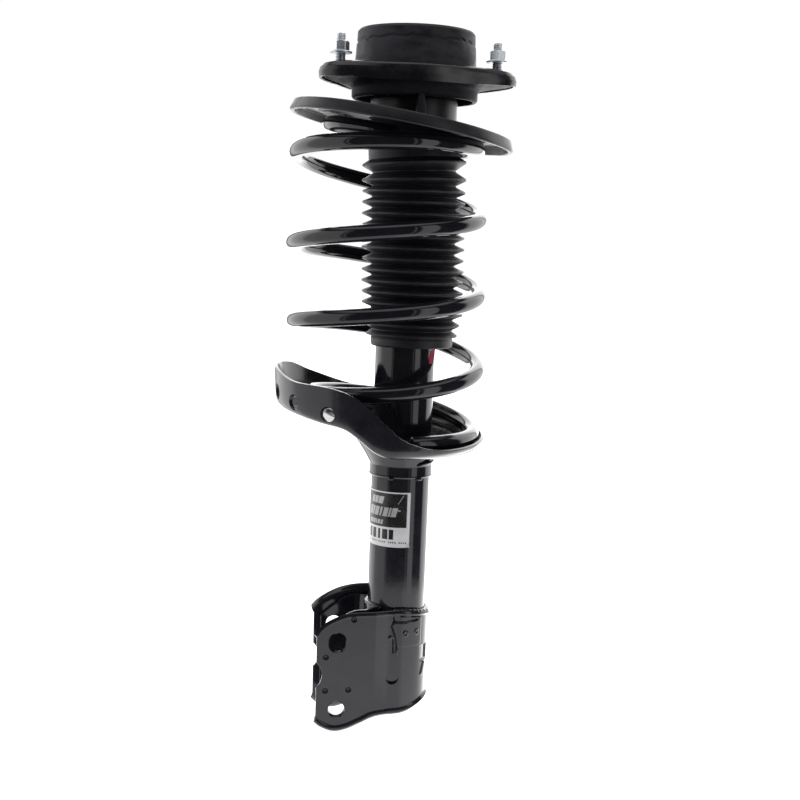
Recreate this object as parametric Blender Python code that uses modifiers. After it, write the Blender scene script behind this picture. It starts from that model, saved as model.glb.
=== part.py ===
"""Front suspension strut assembly: a damper with its coil spring, dust boot, top mount and knuckle bracket.

Metres, +Z up along the damper's axis. The origin is on that axis at the foot of the tube, and the ears of the
knuckle bracket reach towards -X. The sizes below are in millimetres and become metres where a mesh is made.
"""

import math

import bmesh
import bpy
from mathutils import Matrix, Vector

MM = 0.001
GAP = 0.3

# Damper tube and what it holds
TUBE_R = 25.4
TUBE_WALL = 2.2
TUBE_TOP = 345.0
TUBE_BORE = TUBE_R - TUBE_WALL
PRESSURE_TUBE_R = 17.5
PRESSURE_BORE = 16.0
ROD_R = 10.0
ROD_FOOT = 236.0
ROD_SHOULDER = 525.7
ROD_THREAD_R = 6.0
ROD_TIP = 557.0
PISTON_Z = 246.0

# Knuckle bracket
SHEET = 3.0
WRAP_R = TUBE_R + GAP + SHEET
EAR_Y = 31.2
EAR_TIP_X = -72.0
JOGGLE_START_X = -22.0
JOGGLE_END_X = -5.0
LIP = 2.2
BOLT_X = -53.6
UPPER_BOLT_Z = 65.6
LOWER_BOLT_Z = 3.6
BOLT_HOLE_R = 7.3
SLOT_HALF_TRAVEL = 1.5
NOTCH_R = 15.7
NOTCH_DEPTH = 5.0
NOTCH_Z = 35.5
# (x, z) along each ear's top and bottom edge, from the tip to the tube's own x
NEAR_TOP = ((-72, 72), (-67, 78.5), (-60, 84), (-51, 88.2), (-42, 90.7), (-20, 91.8), (0, 92.8))
FAR_TOP = ((-72, 80.2), (-67, 85.7), (-58, 91.7), (-46, 97.2), (-30, 100.2), (-12, 99.7), (0, 96.2))
EAR_BOTTOM = ((-72, -6), (-66, -11), (-56, -14.7), (-46, -13), (-34, -7.5), (-22, -1.9), (0, 0.7))
WRAP_SIDE_TOP = 87.5
WRAP_SIDE_BOTTOM = 11.5
BRACE_TOP = ((-66, 75), (-56, 84), (-41, 93.5), (-25, 95), (0, 96))
BRACE_TIP_X = -66.0
BRACE_LIFT = 6.5

# Lower spring seat: a helical pan with a tall wall on the wheel side
SEAT_CENTRE_X = -20.0
SEAT_R = 88.0
SEAT_SHEET = 2.8
SEAT_HUB_R = 26.0
SEAT_HUB_Z = 246.0
GROOVE_CENTRE_X = -11.2
GROOVE_R = 72.0
# (degrees round from +X, height) of the pan's floor and of its rim
FLOOR_HEIGHTS = ((-80, 239.1), (-40, 239.5), (-7, 242.6), (45, 248.6), (90, 256.3), (135, 264.4), (173, 271),
                 (205, 268.5), (232, 263.5), (246, 260), (255, 252), (263, 243), (271, 239.1), (280, 239.1))
RIM_HEIGHTS = ((-80, 251.5), (-70, 247), (-52, 244.5), (-20, 247), (20, 253), (70, 268), (105, 280),
               (130, 292), (150, 301), (184, 301.5), (212, 294), (238, 292), (252, 285.5), (264, 271),
               (274, 257), (280, 251.5))
WALL_HOLES = ((192, 282), (212.5, 276.5), (236.5, 270.5))
WALL_HOLE_R = 5.5
COLLAR_FOOT = 211.0
COLLAR_RING_TOP = 221.0
COLLAR_RING_R = 27.2
COLLAR_MOUTH_Z = 241.0
COLLAR_MOUTH_R = 39.5

# Coil spring: (turns round from +X, height, centre x, mean radius)
WIRE_R = 6.5
COIL_STATIONS = ((-0.225, 247.5, -11.9, 72.0), (0.0, 250.8, -11.9, 72.0), (0.25, 271.0, -11.4, 72.0),
                 (0.5, 280.5, -11.2, 72.2), (0.75, 288.5, -12.3, 73.8), (1.0, 306.4, -13.5, 75.6),
                 (1.25, 330.0, -15.3, 77.3), (1.5, 339.5, -17.0, 78.5), (1.75, 351.0, -17.6, 78.5),
                 (2.0, 367.0, -18.0, 78.4), (2.25, 391.0, -18.3, 78.2), (2.5, 402.0, -18.6, 78.0),
                 (2.75, 413.5, -18.7, 77.8), (3.0, 427.6, -18.8, 77.5), (3.25, 453.0, -18.8, 77.0),
                 (3.5, 472.5, -18.6, 76.0), (3.75, 479.3, -17.0, 73.5), (4.0, 480.0, -14.0, 66.8),
                 (4.25, 486.0, -9.5, 62.2), (4.5, 494.0, -7.5, 60.1), (4.75, 483.5, -7.5, 60.0))
COIL_END = 4.72
COIL_POINTS_PER_TURN = 24

# Upper spring seat
SEAT_TILT = math.radians(8.5)
UPPER_SEAT_X = -8.9
UPPER_SEAT_Z = 494.6
UPPER_SEAT_R = 92.0
UPPER_SEAT_RIM = 9.0
UPPER_SEAT_TOP_R = 89.5
UPPER_SEAT_RECESS_R = 88.0
UPPER_SEAT_SHEET = 2.8
UPPER_SEAT_RECESS = UPPER_SEAT_RIM / 2 - UPPER_SEAT_SHEET
NECK_R = 35.0
NECK_TOP = 515.0
SEAT_BORE = 24.0
SPIGOT_R = 35.5
SPIGOT_BORE = 28.0
SPIGOT_FOOT = 468.0
SPIGOT_BORE_TOP = 482.0
RIB_ANGLES = (269, 89)
RIB_TOP = ((33, 511), (49, 511.5), (53, 516), (55, 515))
RIB_FOOT_R = 60.0
RIB_FOOT_HALF = 4.5
RIB_TOP_HALF = 2.0
PAD_THICK = 1.5

# Dust boot
PLEATS = 16
PLEAT_PITCH = 9.17
FIRST_TIP_Z = 470.0
PLEAT_TIP_R = 43.0
PLEAT_ROOT_R = 33.2
BOOT_BORE = 31.0
BOOT_NECK_R = 37.4
BOOT_NECK_BORE = 36.1
BOOT_NECK_TOP = 482.3
CUFF_R = 34.7
CUFF_BORE = 32.6
CUFF_TOP = 328.5
CUFF_FOOT = 321.0
BOOT_LEAN = math.radians(-1.95)
BOOT_PIVOT_Z = 476.0
BUMP_STOP_TOP = 496.5
BUMP_STOP_FOOT = 450.0

# Top mount
STUD_CIRCLE_R = 68.5
STUD_CIRCLE_X = -2.2
STUD_ANGLES = (208.4, 339.6, 94.0)
STUD_R = 4.0
STUD_TIP = 557.3
PLATE_TOP = 537.2
PLATE_SHEET = 2.2
PLATE_HOLE_R = 44.5
MOUNT_SIDE_R = 59.5
EAR_REACH = 25.2
EAR_SPREAD = math.radians(24)
CUP_R = 50.8
CUP_FOOT = 514.5
FLANGE_FOOT = 524.0
EAR_FOOT_RISE = 1.8
CUP_MOUTH_R = 47.0
NUT_FOOT = 543.3
NUT_FLANGE_R = 9.0
NUT_FLANGE_T = 1.6
NUT_HEX_AF = 12.0
NUT_TOP = 552.0

# Steering bearing
RACE_IN = 27.5
RACE_OUT = 34.5
BALL_R = 2.35
BALL_CIRCLE_R = 31.0
BALL_Z = 520.1
RACE_TOP = 525.0
BALLS = 12
FIRST_BALL = 0.27

ROUND_STEPS = 28
HIDDEN_STEPS = 16
SHELL_STATIONS = 36


def collection(name, hidden=False):
    made = bpy.data.collections.new(name)
    made.hide_render = hidden
    bpy.context.scene.collection.children.link(made)
    return made


def material(name, colour, roughness, metallic=0.0):
    made = bpy.data.materials.new(name)
    made.use_nodes = True
    shader = made.node_tree.nodes["Principled BSDF"]
    shader.inputs["Base Color"].default_value = (*colour, 1.0)
    shader.inputs["Roughness"].default_value = roughness
    shader.inputs["Metallic"].default_value = metallic
    return made


def add_object(name, data, look, group=None):
    made = bpy.data.objects.new(name, data)
    (group or PART).objects.link(made)
    if look and not data.materials:
        data.materials.append(look)
    return made


def shade(mesh, degrees=35):
    mesh.shade_smooth()
    mesh.set_sharp_from_angle(angle=math.radians(degrees))


def object_from_bmesh(name, bm, look, group=None):
    mesh = bpy.data.meshes.new(name)
    bm.to_mesh(mesh)
    bm.free()
    shade(mesh)
    return add_object(name, mesh, look, group)


def turned(name, profile, look, steps=ROUND_STEPS, ring=True, group=None):
    """A turned solid from (radius, height) points: down the outer side and, for a ring, back up the bore."""
    bm = bmesh.new()
    points = [bm.verts.new((radius * MM, 0, z * MM)) for radius, z in profile]
    pairs = list(zip(points, points[1:]))
    if ring:
        pairs.append((points[-1], points[0]))
    for a, b in pairs:
        bm.edges.new((a, b))
    made = object_from_bmesh(name, bm, look, group)
    screw = made.modifiers.new("turn", "SCREW")
    screw.angle = math.tau
    screw.steps = steps
    screw.render_steps = steps
    screw.use_merge_vertices = True
    screw.merge_threshold = 0.00001
    screw.use_smooth_shade = True
    return made


def tube_ring(name, outer, bore, foot, top, look, edge=0.0, steps=ROUND_STEPS):
    """A plain ring, its outer edges chamfered by edge. Its bore's facets clear a shaft of radius bore."""
    bore = bore / math.cos(math.pi / steps)
    if edge:
        outer_side = [(outer - edge, top), (outer, top - edge), (outer, foot + edge), (outer - edge, foot)]
    else:
        outer_side = [(outer, top), (outer, foot)]
    return turned(name, outer_side + [(bore, foot), (bore, top)], look, steps)


def hex_nut(name, across_flats, bore, foot, top, look):
    """A hexagon nut with a hexagonal bore round a shank of radius bore."""
    return tube_ring(name, across_flats / math.sqrt(3), bore, foot, top, look, 0.8, 6)


def smooth_value(stations, at):
    """Catmull-Rom through (position, value...) stations: the value, or a tuple of values."""
    last = len(stations) - 1
    at = min(max(at, stations[0][0]), stations[last][0])
    i = max(k for k in range(last) if stations[k][0] <= at)
    before, low, high, after = (stations[min(max(k, 0), last)] for k in (i - 1, i, i + 1, i + 2))
    span = high[0] - low[0]
    t = (at - low[0]) / span
    values = []
    for k in range(1, len(low)):
        start_slope = (high[k] - before[k]) / (high[0] - before[0]) * span
        end_slope = (after[k] - low[k]) / (after[0] - low[0]) * span
        values.append(
            (2 * t**3 - 3 * t**2 + 1) * low[k] + (t**3 - 2 * t**2 + t) * start_slope
            + (3 * t**2 - 2 * t**3) * high[k] + (t**3 - t**2) * end_slope
        )
    return values[0] if len(values) == 1 else tuple(values)


def on_circle(radius, degrees, centre_x=0.0):
    a = math.radians(degrees)
    return centre_x + radius * math.cos(a), radius * math.sin(a)


def sheet(name, rows, thickness, look, closed, group=None):
    """A sheet-metal shell: rows of equally many (x, y, z) points, thickened behind its outer face."""
    bm = bmesh.new()
    grid = [[bm.verts.new(Vector(point) * MM) for point in row] for row in rows]
    columns = len(grid[0])
    for low, high in zip(grid, grid[1:]):
        for i in range(columns if closed else columns - 1):
            j = (i + 1) % columns
            bm.faces.new((low[i], low[j], high[j], high[i]))
    made = object_from_bmesh(name, bm, look, group)
    solid = made.modifiers.new("thickness", "SOLIDIFY")
    solid.thickness = thickness * MM
    solid.offset = -1.0
    solid.use_even_offset = True
    return made


def rod_cutter(name, radius, centre, direction, length, segments=24):
    """A cylinder cutter through centre along direction."""
    bm = bmesh.new()
    bmesh.ops.create_cone(bm, cap_ends=True, segments=segments, radius1=radius * MM, radius2=radius * MM,
                          depth=length * MM)
    made = object_from_bmesh(name, bm, None, CUTTERS)
    made.rotation_euler = Vector(direction).to_track_quat("Z", "Y").to_euler()
    made.location = Vector(centre) * MM
    hide_cutter(made)
    return made


def hide_cutter(made):
    made.hide_render = True
    made.display_type = "WIRE"


def boolean(target, other, operation="DIFFERENCE"):
    step = target.modifiers.new(operation.lower(), "BOOLEAN")
    step.operation = operation
    step.object = other


def baked_mesh(source, name):
    """The evaluated mesh of an object, as a new mesh; the object itself is removed."""
    bpy.context.view_layer.update()
    graph = bpy.context.evaluated_depsgraph_get()
    mesh = bpy.data.meshes.new_from_object(source.evaluated_get(graph))
    mesh.name = name
    bpy.data.objects.remove(source)
    return mesh


# --- damper tube and its inside -------------------------------------------------------------------------


def build_tube():
    tube_ring("strut_tube", TUBE_R, TUBE_BORE, 3.3, TUBE_TOP, BLACK_PAINT, steps=48)
    spigot = TUBE_BORE - GAP
    turned("base_cup", [(0, 9.0), (spigot - 1, 9.0), (spigot, 8.0), (spigot, 3.0), (TUBE_R, 3.0),
                        (TUBE_R, 2.0), (TUBE_R - 2.5, 0.0), (0, 0.0)], BLACK_PAINT, ring=False)
    turned("tube_cap", [(TUBE_R - 1.2, TUBE_TOP + 3.3), (TUBE_R, TUBE_TOP + 2.1), (TUBE_R, TUBE_TOP + GAP),
                        (spigot, TUBE_TOP + GAP), (spigot, TUBE_TOP - 2.2), (ROD_R + 1.5, TUBE_TOP - 2.2),
                        (ROD_R + 1.5, TUBE_TOP + 3.3)], BLACK_PAINT)
    label = [on_circle(TUBE_R + 0.4, degrees) for degrees in range(175, 286, 5)]
    rows = [[(x, y, z) for x, y in label] for z in (150.7, 199.0)]
    sheet("tube_label", rows, 0.25, LABEL_PAPER, closed=False)


def build_damper_inside():
    guide_foot = TUBE_TOP - 23
    tube_ring("pressure_tube", PRESSURE_TUBE_R, PRESSURE_BORE, 21.0, guide_foot - 4.3, BRIGHT_STEEL,
              steps=HIDDEN_STEPS)
    turned("base_valve", [(0, 25.0), (12.0, 25.0), (PRESSURE_BORE - GAP, 22.0), (PRESSURE_BORE - GAP, 20.7),
                          (PRESSURE_TUBE_R, 20.7), (PRESSURE_TUBE_R, 14.0), (20.0, 12.0), (20.0, 9.3),
                          (0, 9.3)], DARK_STEEL, HIDDEN_STEPS, ring=False)
    tube_ring("rod_guide", TUBE_BORE - GAP, ROD_R + 0.05, guide_foot - 4.0, TUBE_TOP - 9, DARK_STEEL,
              steps=HIDDEN_STEPS)
    tube_ring("rod_seal", TUBE_BORE - GAP, ROD_R + 0.05, TUBE_TOP - 8.7, TUBE_TOP - 2.5, RUBBER,
              steps=HIDDEN_STEPS)


def build_rod():
    turned("piston_rod", [(0, ROD_TIP), (ROD_THREAD_R - 1, ROD_TIP), (ROD_THREAD_R, ROD_TIP - 1),
                          (ROD_THREAD_R, ROD_SHOULDER), (ROD_R - 0.8, ROD_SHOULDER),
                          (ROD_R, ROD_SHOULDER - 0.8), (ROD_R, PISTON_Z + 14),
                          (5.0, PISTON_Z + 14), (5.0, ROD_FOOT), (0, ROD_FOOT)], CHROME, ring=False)
    shank = 5.0 + GAP
    tube_ring("piston", 15.2, shank, PISTON_Z, PISTON_Z + 10, DARK_STEEL, steps=HIDDEN_STEPS)
    tube_ring("piston_band", 15.9, 15.2 + 0.1, PISTON_Z + 1.5, PISTON_Z + 8.5, BUSH_PLASTIC,
              steps=HIDDEN_STEPS)
    tube_ring("rebound_valve_disc", 11.0, shank, PISTON_Z - 1.5, PISTON_Z - GAP, BRIGHT_STEEL,
              steps=HIDDEN_STEPS)
    tube_ring("compression_valve_disc", 12.0, shank, PISTON_Z + 10 + GAP, PISTON_Z + 13.5, BRIGHT_STEEL,
              steps=HIDDEN_STEPS)
    hex_nut("piston_nut", 15.0, shank, ROD_FOOT + 0.5, PISTON_Z - 1.8, DARK_STEEL)
    tube_ring("rebound_stop", 14.0, ROD_R + 0.1, TUBE_TOP - 37, TUBE_TOP - 27.5, BUSH_PLASTIC,
              steps=HIDDEN_STEPS)
    waist = (BUMP_STOP_TOP + BUMP_STOP_FOOT) / 2
    turned("bump_stop", [(20.0, BUMP_STOP_TOP), (21.0, BUMP_STOP_TOP - 2), (21.0, waist + 6),
                         (17.5, waist + 1), (20.0, waist - 4), (20.0, waist - 10), (15.5, waist - 14),
                         (17.0, waist - 18), (15.0, BUMP_STOP_FOOT), (ROD_R + 0.4, BUMP_STOP_FOOT),
                         (ROD_R + 0.4, BUMP_STOP_TOP)], FOAM, 24)


# --- knuckle bracket ------------------------------------------------------------------------------------


def wrap_path():
    """(x, y, outward x, outward y, top, bottom) round the bracket: near ear, tube, far ear."""
    joggle = EAR_Y - WRAP_R
    ear = [EAR_TIP_X + (JOGGLE_START_X - EAR_TIP_X) * i / 7 for i in range(8)]
    ear += [JOGGLE_START_X + (JOGGLE_END_X - JOGGLE_START_X) * i / 4 for i in range(1, 5)]
    path = []
    for x in ear:
        t = min(max((x - JOGGLE_START_X) / (JOGGLE_END_X - JOGGLE_START_X), 0), 1)
        y = EAR_Y - joggle * t * t * (3 - 2 * t)
        path.append((x, -y, 0, -1, smooth_value(NEAR_TOP, x), smooth_value(EAR_BOTTOM, x)))
    far = [(x, -y, nx, -ny, smooth_value(FAR_TOP, x), low) for x, y, nx, ny, _, low in reversed(path)]
    for degrees in range(-90, 91, 12):
        x, y = on_circle(WRAP_R, degrees)
        side = math.cos(math.radians(degrees))
        front_top = NEAR_TOP[-1][1] if degrees < 0 else FAR_TOP[-1][1]
        top = front_top + (WRAP_SIDE_TOP - front_top) * side**2
        bottom = EAR_BOTTOM[-1][1] + (WRAP_SIDE_BOTTOM - EAR_BOTTOM[-1][1]) * side**1.5
        path.append((x, y, x / WRAP_R, y / WRAP_R, top, bottom))
    return path + far


def bolt_cutters():
    """The two bolt holes, right through both ears; the upper one is a short upright slot."""
    lower = rod_cutter("lower_bolt_hole", BOLT_HOLE_R, (BOLT_X, 0, LOWER_BOLT_Z), (0, 1, 0), 90)
    outline = bpy.data.curves.new("slot_outline", "CURVE")
    outline.dimensions = "2D"
    outline.fill_mode = "BOTH"
    outline.extrude = 45 * MM
    spline = outline.splines.new("POLY")
    ends = [(SLOT_HALF_TRAVEL, range(0, 181, 15)), (-SLOT_HALF_TRAVEL, range(180, 361, 15))]
    points = [(on_circle(BOLT_HOLE_R, d)[0], shift + on_circle(BOLT_HOLE_R, d)[1])
              for shift, sweep in ends for d in sweep]
    spline.points.add(len(points) - 1)
    for point, (u, v) in zip(spline.points, points):
        point.co = (u * MM, v * MM, 0, 1)
    spline.use_cyclic_u = True
    holder = add_object("slot_outline", outline, None, CUTTERS)
    mesh = baked_mesh(holder, "upper_bolt_slot")
    bm = bmesh.new()
    bm.from_mesh(mesh)
    bmesh.ops.remove_doubles(bm, verts=bm.verts, dist=0.00001)
    bmesh.ops.recalc_face_normals(bm, faces=bm.faces)
    upper = object_from_bmesh("upper_bolt_slot", bm, None, CUTTERS)
    upper.rotation_euler = (math.pi / 2, 0, 0)
    upper.location = Vector((BOLT_X, 0, UPPER_BOLT_Z)) * MM
    hide_cutter(upper)
    return lower, upper


def build_bracket():
    path = wrap_path()
    rows = []
    for lip, low_side, rise in ((LIP, True, 0.0), (LIP * 0.25, True, 2.0), (0.0, True, 5.0), (0.0, False, 4.5),
                                (LIP * 0.25, False, 2.0), (LIP, False, 0.0)):
        rows.append([(x + nx * lip, y + ny * lip, bottom + rise if low_side else top - rise)
                     for x, y, nx, ny, top, bottom in path])
    bracket = sheet("knuckle_bracket", rows, SHEET, BLACK_PAINT, closed=False)
    notch_x = EAR_TIP_X + NOTCH_DEPTH - NOTCH_R
    notch = rod_cutter("ear_notch", NOTCH_R, (notch_x, 0, NOTCH_Z), (0, 1, 0), 90, 32)
    lower, upper = bolt_cutters()
    for cutter in (notch, lower, upper):
        boolean(bracket, cutter)
    brace = build_brace()
    for cutter in (lower, upper):
        boolean(brace, cutter)


def build_brace():
    """The inner stiffener: flat against both ears and hugging the tube between them."""
    wall_y = EAR_Y - SHEET - GAP
    hug = TUBE_R + GAP
    straight = [(BRACE_TIP_X + (-33 - BRACE_TIP_X) * i / 6, -wall_y) for i in range(7)]
    shoulder = [(-30.5, -wall_y + 0.5), (-28.5, -wall_y + 1.5)]
    arc = [on_circle(hug, degrees) for degrees in range(232, 179, -13)]
    half = straight + shoulder + arc
    path = half[:-1] + [(hug * math.cos(math.pi), 0)] + [(x, -y) for x, y in reversed(half[:-1])]
    rows = []
    for share in (0.0, 1.0):
        row = []
        for x, y in path:
            bottom = smooth_value(EAR_BOTTOM, x) + BRACE_LIFT
            top = smooth_value(BRACE_TOP, x)
            row.append((x, y, bottom + (top - bottom) * share))
        rows.append(row)
    return sheet("bracket_brace", rows, SHEET, BLACK_PAINT, closed=False)


# --- lower spring seat and spring -----------------------------------------------------------------------


def build_lower_seat():
    angles = [i * 360 / SHELL_STATIONS for i in range(SHELL_STATIONS)]
    stations = []
    for degrees in angles:
        wrapped = degrees if degrees <= 280 else degrees - 360
        floor = smooth_value(FLOOR_HEIGHTS, wrapped)
        rim = smooth_value(RIM_HEIGHTS, wrapped)
        hub = SEAT_HUB_Z + (floor - SEAT_HUB_Z) * 0.15
        stations.append((
            (*on_circle(SEAT_HUB_R, degrees), hub),
            (*on_circle(SEAT_HUB_R + 14, degrees), hub + 0.5),
            (*on_circle(GROOVE_R - 13, degrees, GROOVE_CENTRE_X), floor + 3.5),
            (*on_circle(GROOVE_R - 5, degrees, GROOVE_CENTRE_X), floor),
            (*on_circle(GROOVE_R + 4, degrees, GROOVE_CENTRE_X), floor),
            (*on_circle(SEAT_R - 5, degrees, SEAT_CENTRE_X), floor + 0.8),
            (*on_circle(SEAT_R - 1, degrees, SEAT_CENTRE_X), floor + 3.6),
            (*on_circle(SEAT_R, degrees, SEAT_CENTRE_X), rim),
        ))
    rows = [list(row) for row in zip(*reversed(stations))]
    seat = sheet("lower_spring_seat", rows, SEAT_SHEET, BLACK_PAINT, closed=True)
    for i, (degrees, z) in enumerate(WALL_HOLES):
        x, y = on_circle(SEAT_R - 1, degrees, SEAT_CENTRE_X)
        outward = (*on_circle(1, degrees), 0)
        boolean(seat, rod_cutter(f"wall_hole_{i + 1}", WALL_HOLE_R, (x, y, z), outward, 20, 16))


def build_support_collar():
    bore = TUBE_R + GAP
    turned("seat_support_collar", [
        (COLLAR_MOUTH_R, COLLAR_MOUTH_Z), (COLLAR_RING_R + 4, COLLAR_RING_TOP + 7),
        (COLLAR_RING_R, COLLAR_RING_TOP), (COLLAR_RING_R, COLLAR_FOOT + 1),
        (COLLAR_RING_R - 0.6, COLLAR_FOOT), (bore, COLLAR_FOOT), (bore, COLLAR_RING_TOP + 2),
        (COLLAR_RING_R + 1.5, COLLAR_RING_TOP + 10),
        (COLLAR_MOUTH_R - 2.5, COLLAR_MOUTH_Z)], BLACK_PAINT)


def seat_plane(x):
    """The height at x of the upper seat's tilted middle plane."""
    return UPPER_SEAT_Z - math.tan(SEAT_TILT) * (x - UPPER_SEAT_X)


def coil_ceiling(x):
    """The highest the wire's centre may be at x, with its pad between it and the upper seat."""
    below = UPPER_SEAT_RECESS - (GAP + PAD_THICK + GAP + WIRE_R)
    return seat_plane(x) + below / math.cos(SEAT_TILT)


def build_spring():
    curve = bpy.data.curves.new("coil_spring", "CURVE")
    curve.dimensions = "3D"
    curve.bevel_depth = WIRE_R * MM
    curve.bevel_resolution = 2
    curve.use_fill_caps = True
    start = COIL_STATIONS[0][0]
    count = round((COIL_END - start) * COIL_POINTS_PER_TURN)
    spline = curve.splines.new("POLY")
    spline.points.add(count)
    for i, point in enumerate(spline.points):
        turn = start + (COIL_END - start) * i / count
        z, centre_x, radius = smooth_value(COIL_STATIONS, turn)
        x, y = on_circle(radius, turn * 360, centre_x)
        point.co = (x * MM, y * MM, min(z, coil_ceiling(x)) * MM, 1)
    add_object("coil_spring", curve, BLACK_PAINT)


# --- upper spring seat and boot -------------------------------------------------------------------------


def tilted(made, offset):
    """Turns a piece modelled round its own axis into the plane of the upper seat, offset along its normal."""
    tilt = Matrix.Rotation(SEAT_TILT, 4, "Y")
    place = Matrix.Translation(Vector((UPPER_SEAT_X, 0, UPPER_SEAT_Z)) * MM)
    made.matrix_world = place @ tilt @ Matrix.Translation((0, 0, offset * MM))


def build_upper_seat():
    half = UPPER_SEAT_RIM / 2
    seat = turned("upper_spring_seat", [
        (0, half), (UPPER_SEAT_TOP_R - 1.5, half), (UPPER_SEAT_TOP_R, half - 1.5), (UPPER_SEAT_R, 1 - half),
        (UPPER_SEAT_R - 1, -half), (UPPER_SEAT_RECESS_R, -half), (UPPER_SEAT_RECESS_R - 1, UPPER_SEAT_RECESS),
        (0, UPPER_SEAT_RECESS)], SATIN_PLASTIC, 40, ring=False)
    tilted(seat, 0.0)
    neck = turned("neck", [(0, NECK_TOP), (NECK_R, NECK_TOP), (NECK_R, UPPER_SEAT_Z - 8),
                           (SPIGOT_R, UPPER_SEAT_Z - 12), (SPIGOT_R, SPIGOT_FOOT), (0, SPIGOT_FOOT)],
                  None, ring=False, group=CUTTERS)
    bore = turned("seat_bore", [(0, NECK_TOP + 5), (SEAT_BORE, NECK_TOP + 5), (SEAT_BORE, SPIGOT_BORE_TOP),
                                (SPIGOT_BORE, SPIGOT_BORE_TOP), (SPIGOT_BORE, SPIGOT_FOOT - 5),
                                (0, SPIGOT_FOOT - 5)], None, 24, ring=False, group=CUTTERS)
    boolean(seat, neck, "UNION")
    for i, degrees in enumerate(RIB_ANGLES):
        boolean(seat, build_rib(f"neck_rib_{i + 1}", degrees), "UNION")
    boolean(seat, bore)
    for helper in (neck, bore):
        hide_cutter(helper)


def build_rib(name, degrees):
    """A radial gusset standing on the disc beside the neck, thinner towards its top."""
    sunk = UPPER_SEAT_RECESS + UPPER_SEAT_SHEET / 2
    foot = [(radius, seat_plane(on_circle(radius, degrees)[0]) + sunk)
            for radius in (RIB_FOOT_R, RIB_TOP[0][0])]
    outline = list(RIB_TOP) + foot
    bm = bmesh.new()
    crest = max(z for _, z in RIB_TOP)
    taper = (RIB_FOOT_HALF - RIB_TOP_HALF) / (crest - UPPER_SEAT_Z)
    sides = [[bm.verts.new(Vector((radius, side * (RIB_TOP_HALF + taper * (crest - z)), z)) * MM)
              for radius, z in outline] for side in (-1, 1)]
    bm.faces.new(sides[0])
    bm.faces.new(reversed(sides[1]))
    count = len(outline)
    for i in range(count):
        j = (i + 1) % count
        bm.faces.new((sides[0][j], sides[0][i], sides[1][i], sides[1][j]))
    bmesh.ops.recalc_face_normals(bm, faces=bm.faces)
    made = object_from_bmesh(name, bm, None, CUTTERS)
    made.rotation_euler = (0, 0, math.radians(degrees))
    hide_cutter(made)
    return made


def build_upper_pad():
    shift = COIL_STATIONS[-1][2] - UPPER_SEAT_X
    top = UPPER_SEAT_RECESS - GAP
    pad = turned("upper_spring_pad", [(70, top), (70, top - PAD_THICK), (50, top - PAD_THICK), (50, top)],
                 RUBBER)
    tilted(pad, 0.0)
    pad.matrix_world = pad.matrix_world @ Matrix.Translation((shift * MM, 0, 0))


def build_boot():
    pivot = BOOT_PIVOT_Z
    root = PLEAT_PITCH / 2
    outer = [(BOOT_NECK_R, BOOT_NECK_TOP), (BOOT_NECK_R, FIRST_TIP_Z + 3.5)]
    for i in range(PLEATS):
        tip_z = FIRST_TIP_Z - i * PLEAT_PITCH
        tip_r = PLEAT_TIP_R if i < PLEATS - 2 else PLEAT_TIP_R - 2.0 * (i - PLEATS + 3)
        outer.append((tip_r, tip_z))
        if i < PLEATS - 1:
            outer.append((PLEAT_ROOT_R, tip_z - root))
    outer += [(CUFF_R, CUFF_TOP), (CUFF_R, CUFF_FOOT), (CUFF_BORE, CUFF_FOOT), (BOOT_BORE, CUFF_TOP + 3),
              (BOOT_BORE, SPIGOT_FOOT - 4), (BOOT_NECK_BORE, SPIGOT_FOOT - 1), (BOOT_NECK_BORE, BOOT_NECK_TOP)]
    boot = turned("dust_boot", [(radius, z - pivot) for radius, z in outer], RUBBER, 24)
    boot.location = (0, 0, pivot * MM)
    boot.rotation_euler = (0, BOOT_LEAN, 0)


# --- top mount ------------------------------------------------------------------------------------------


def ear_weight(degrees):
    """1 at a stud's angle, falling to 0 between the ears."""
    total = 0.0
    for stud in STUD_ANGLES:
        off = math.radians((degrees - stud + 180) % 360 - 180)
        total += math.exp(-((off / EAR_SPREAD) ** 2))
    return min(total, 1.0)


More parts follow.
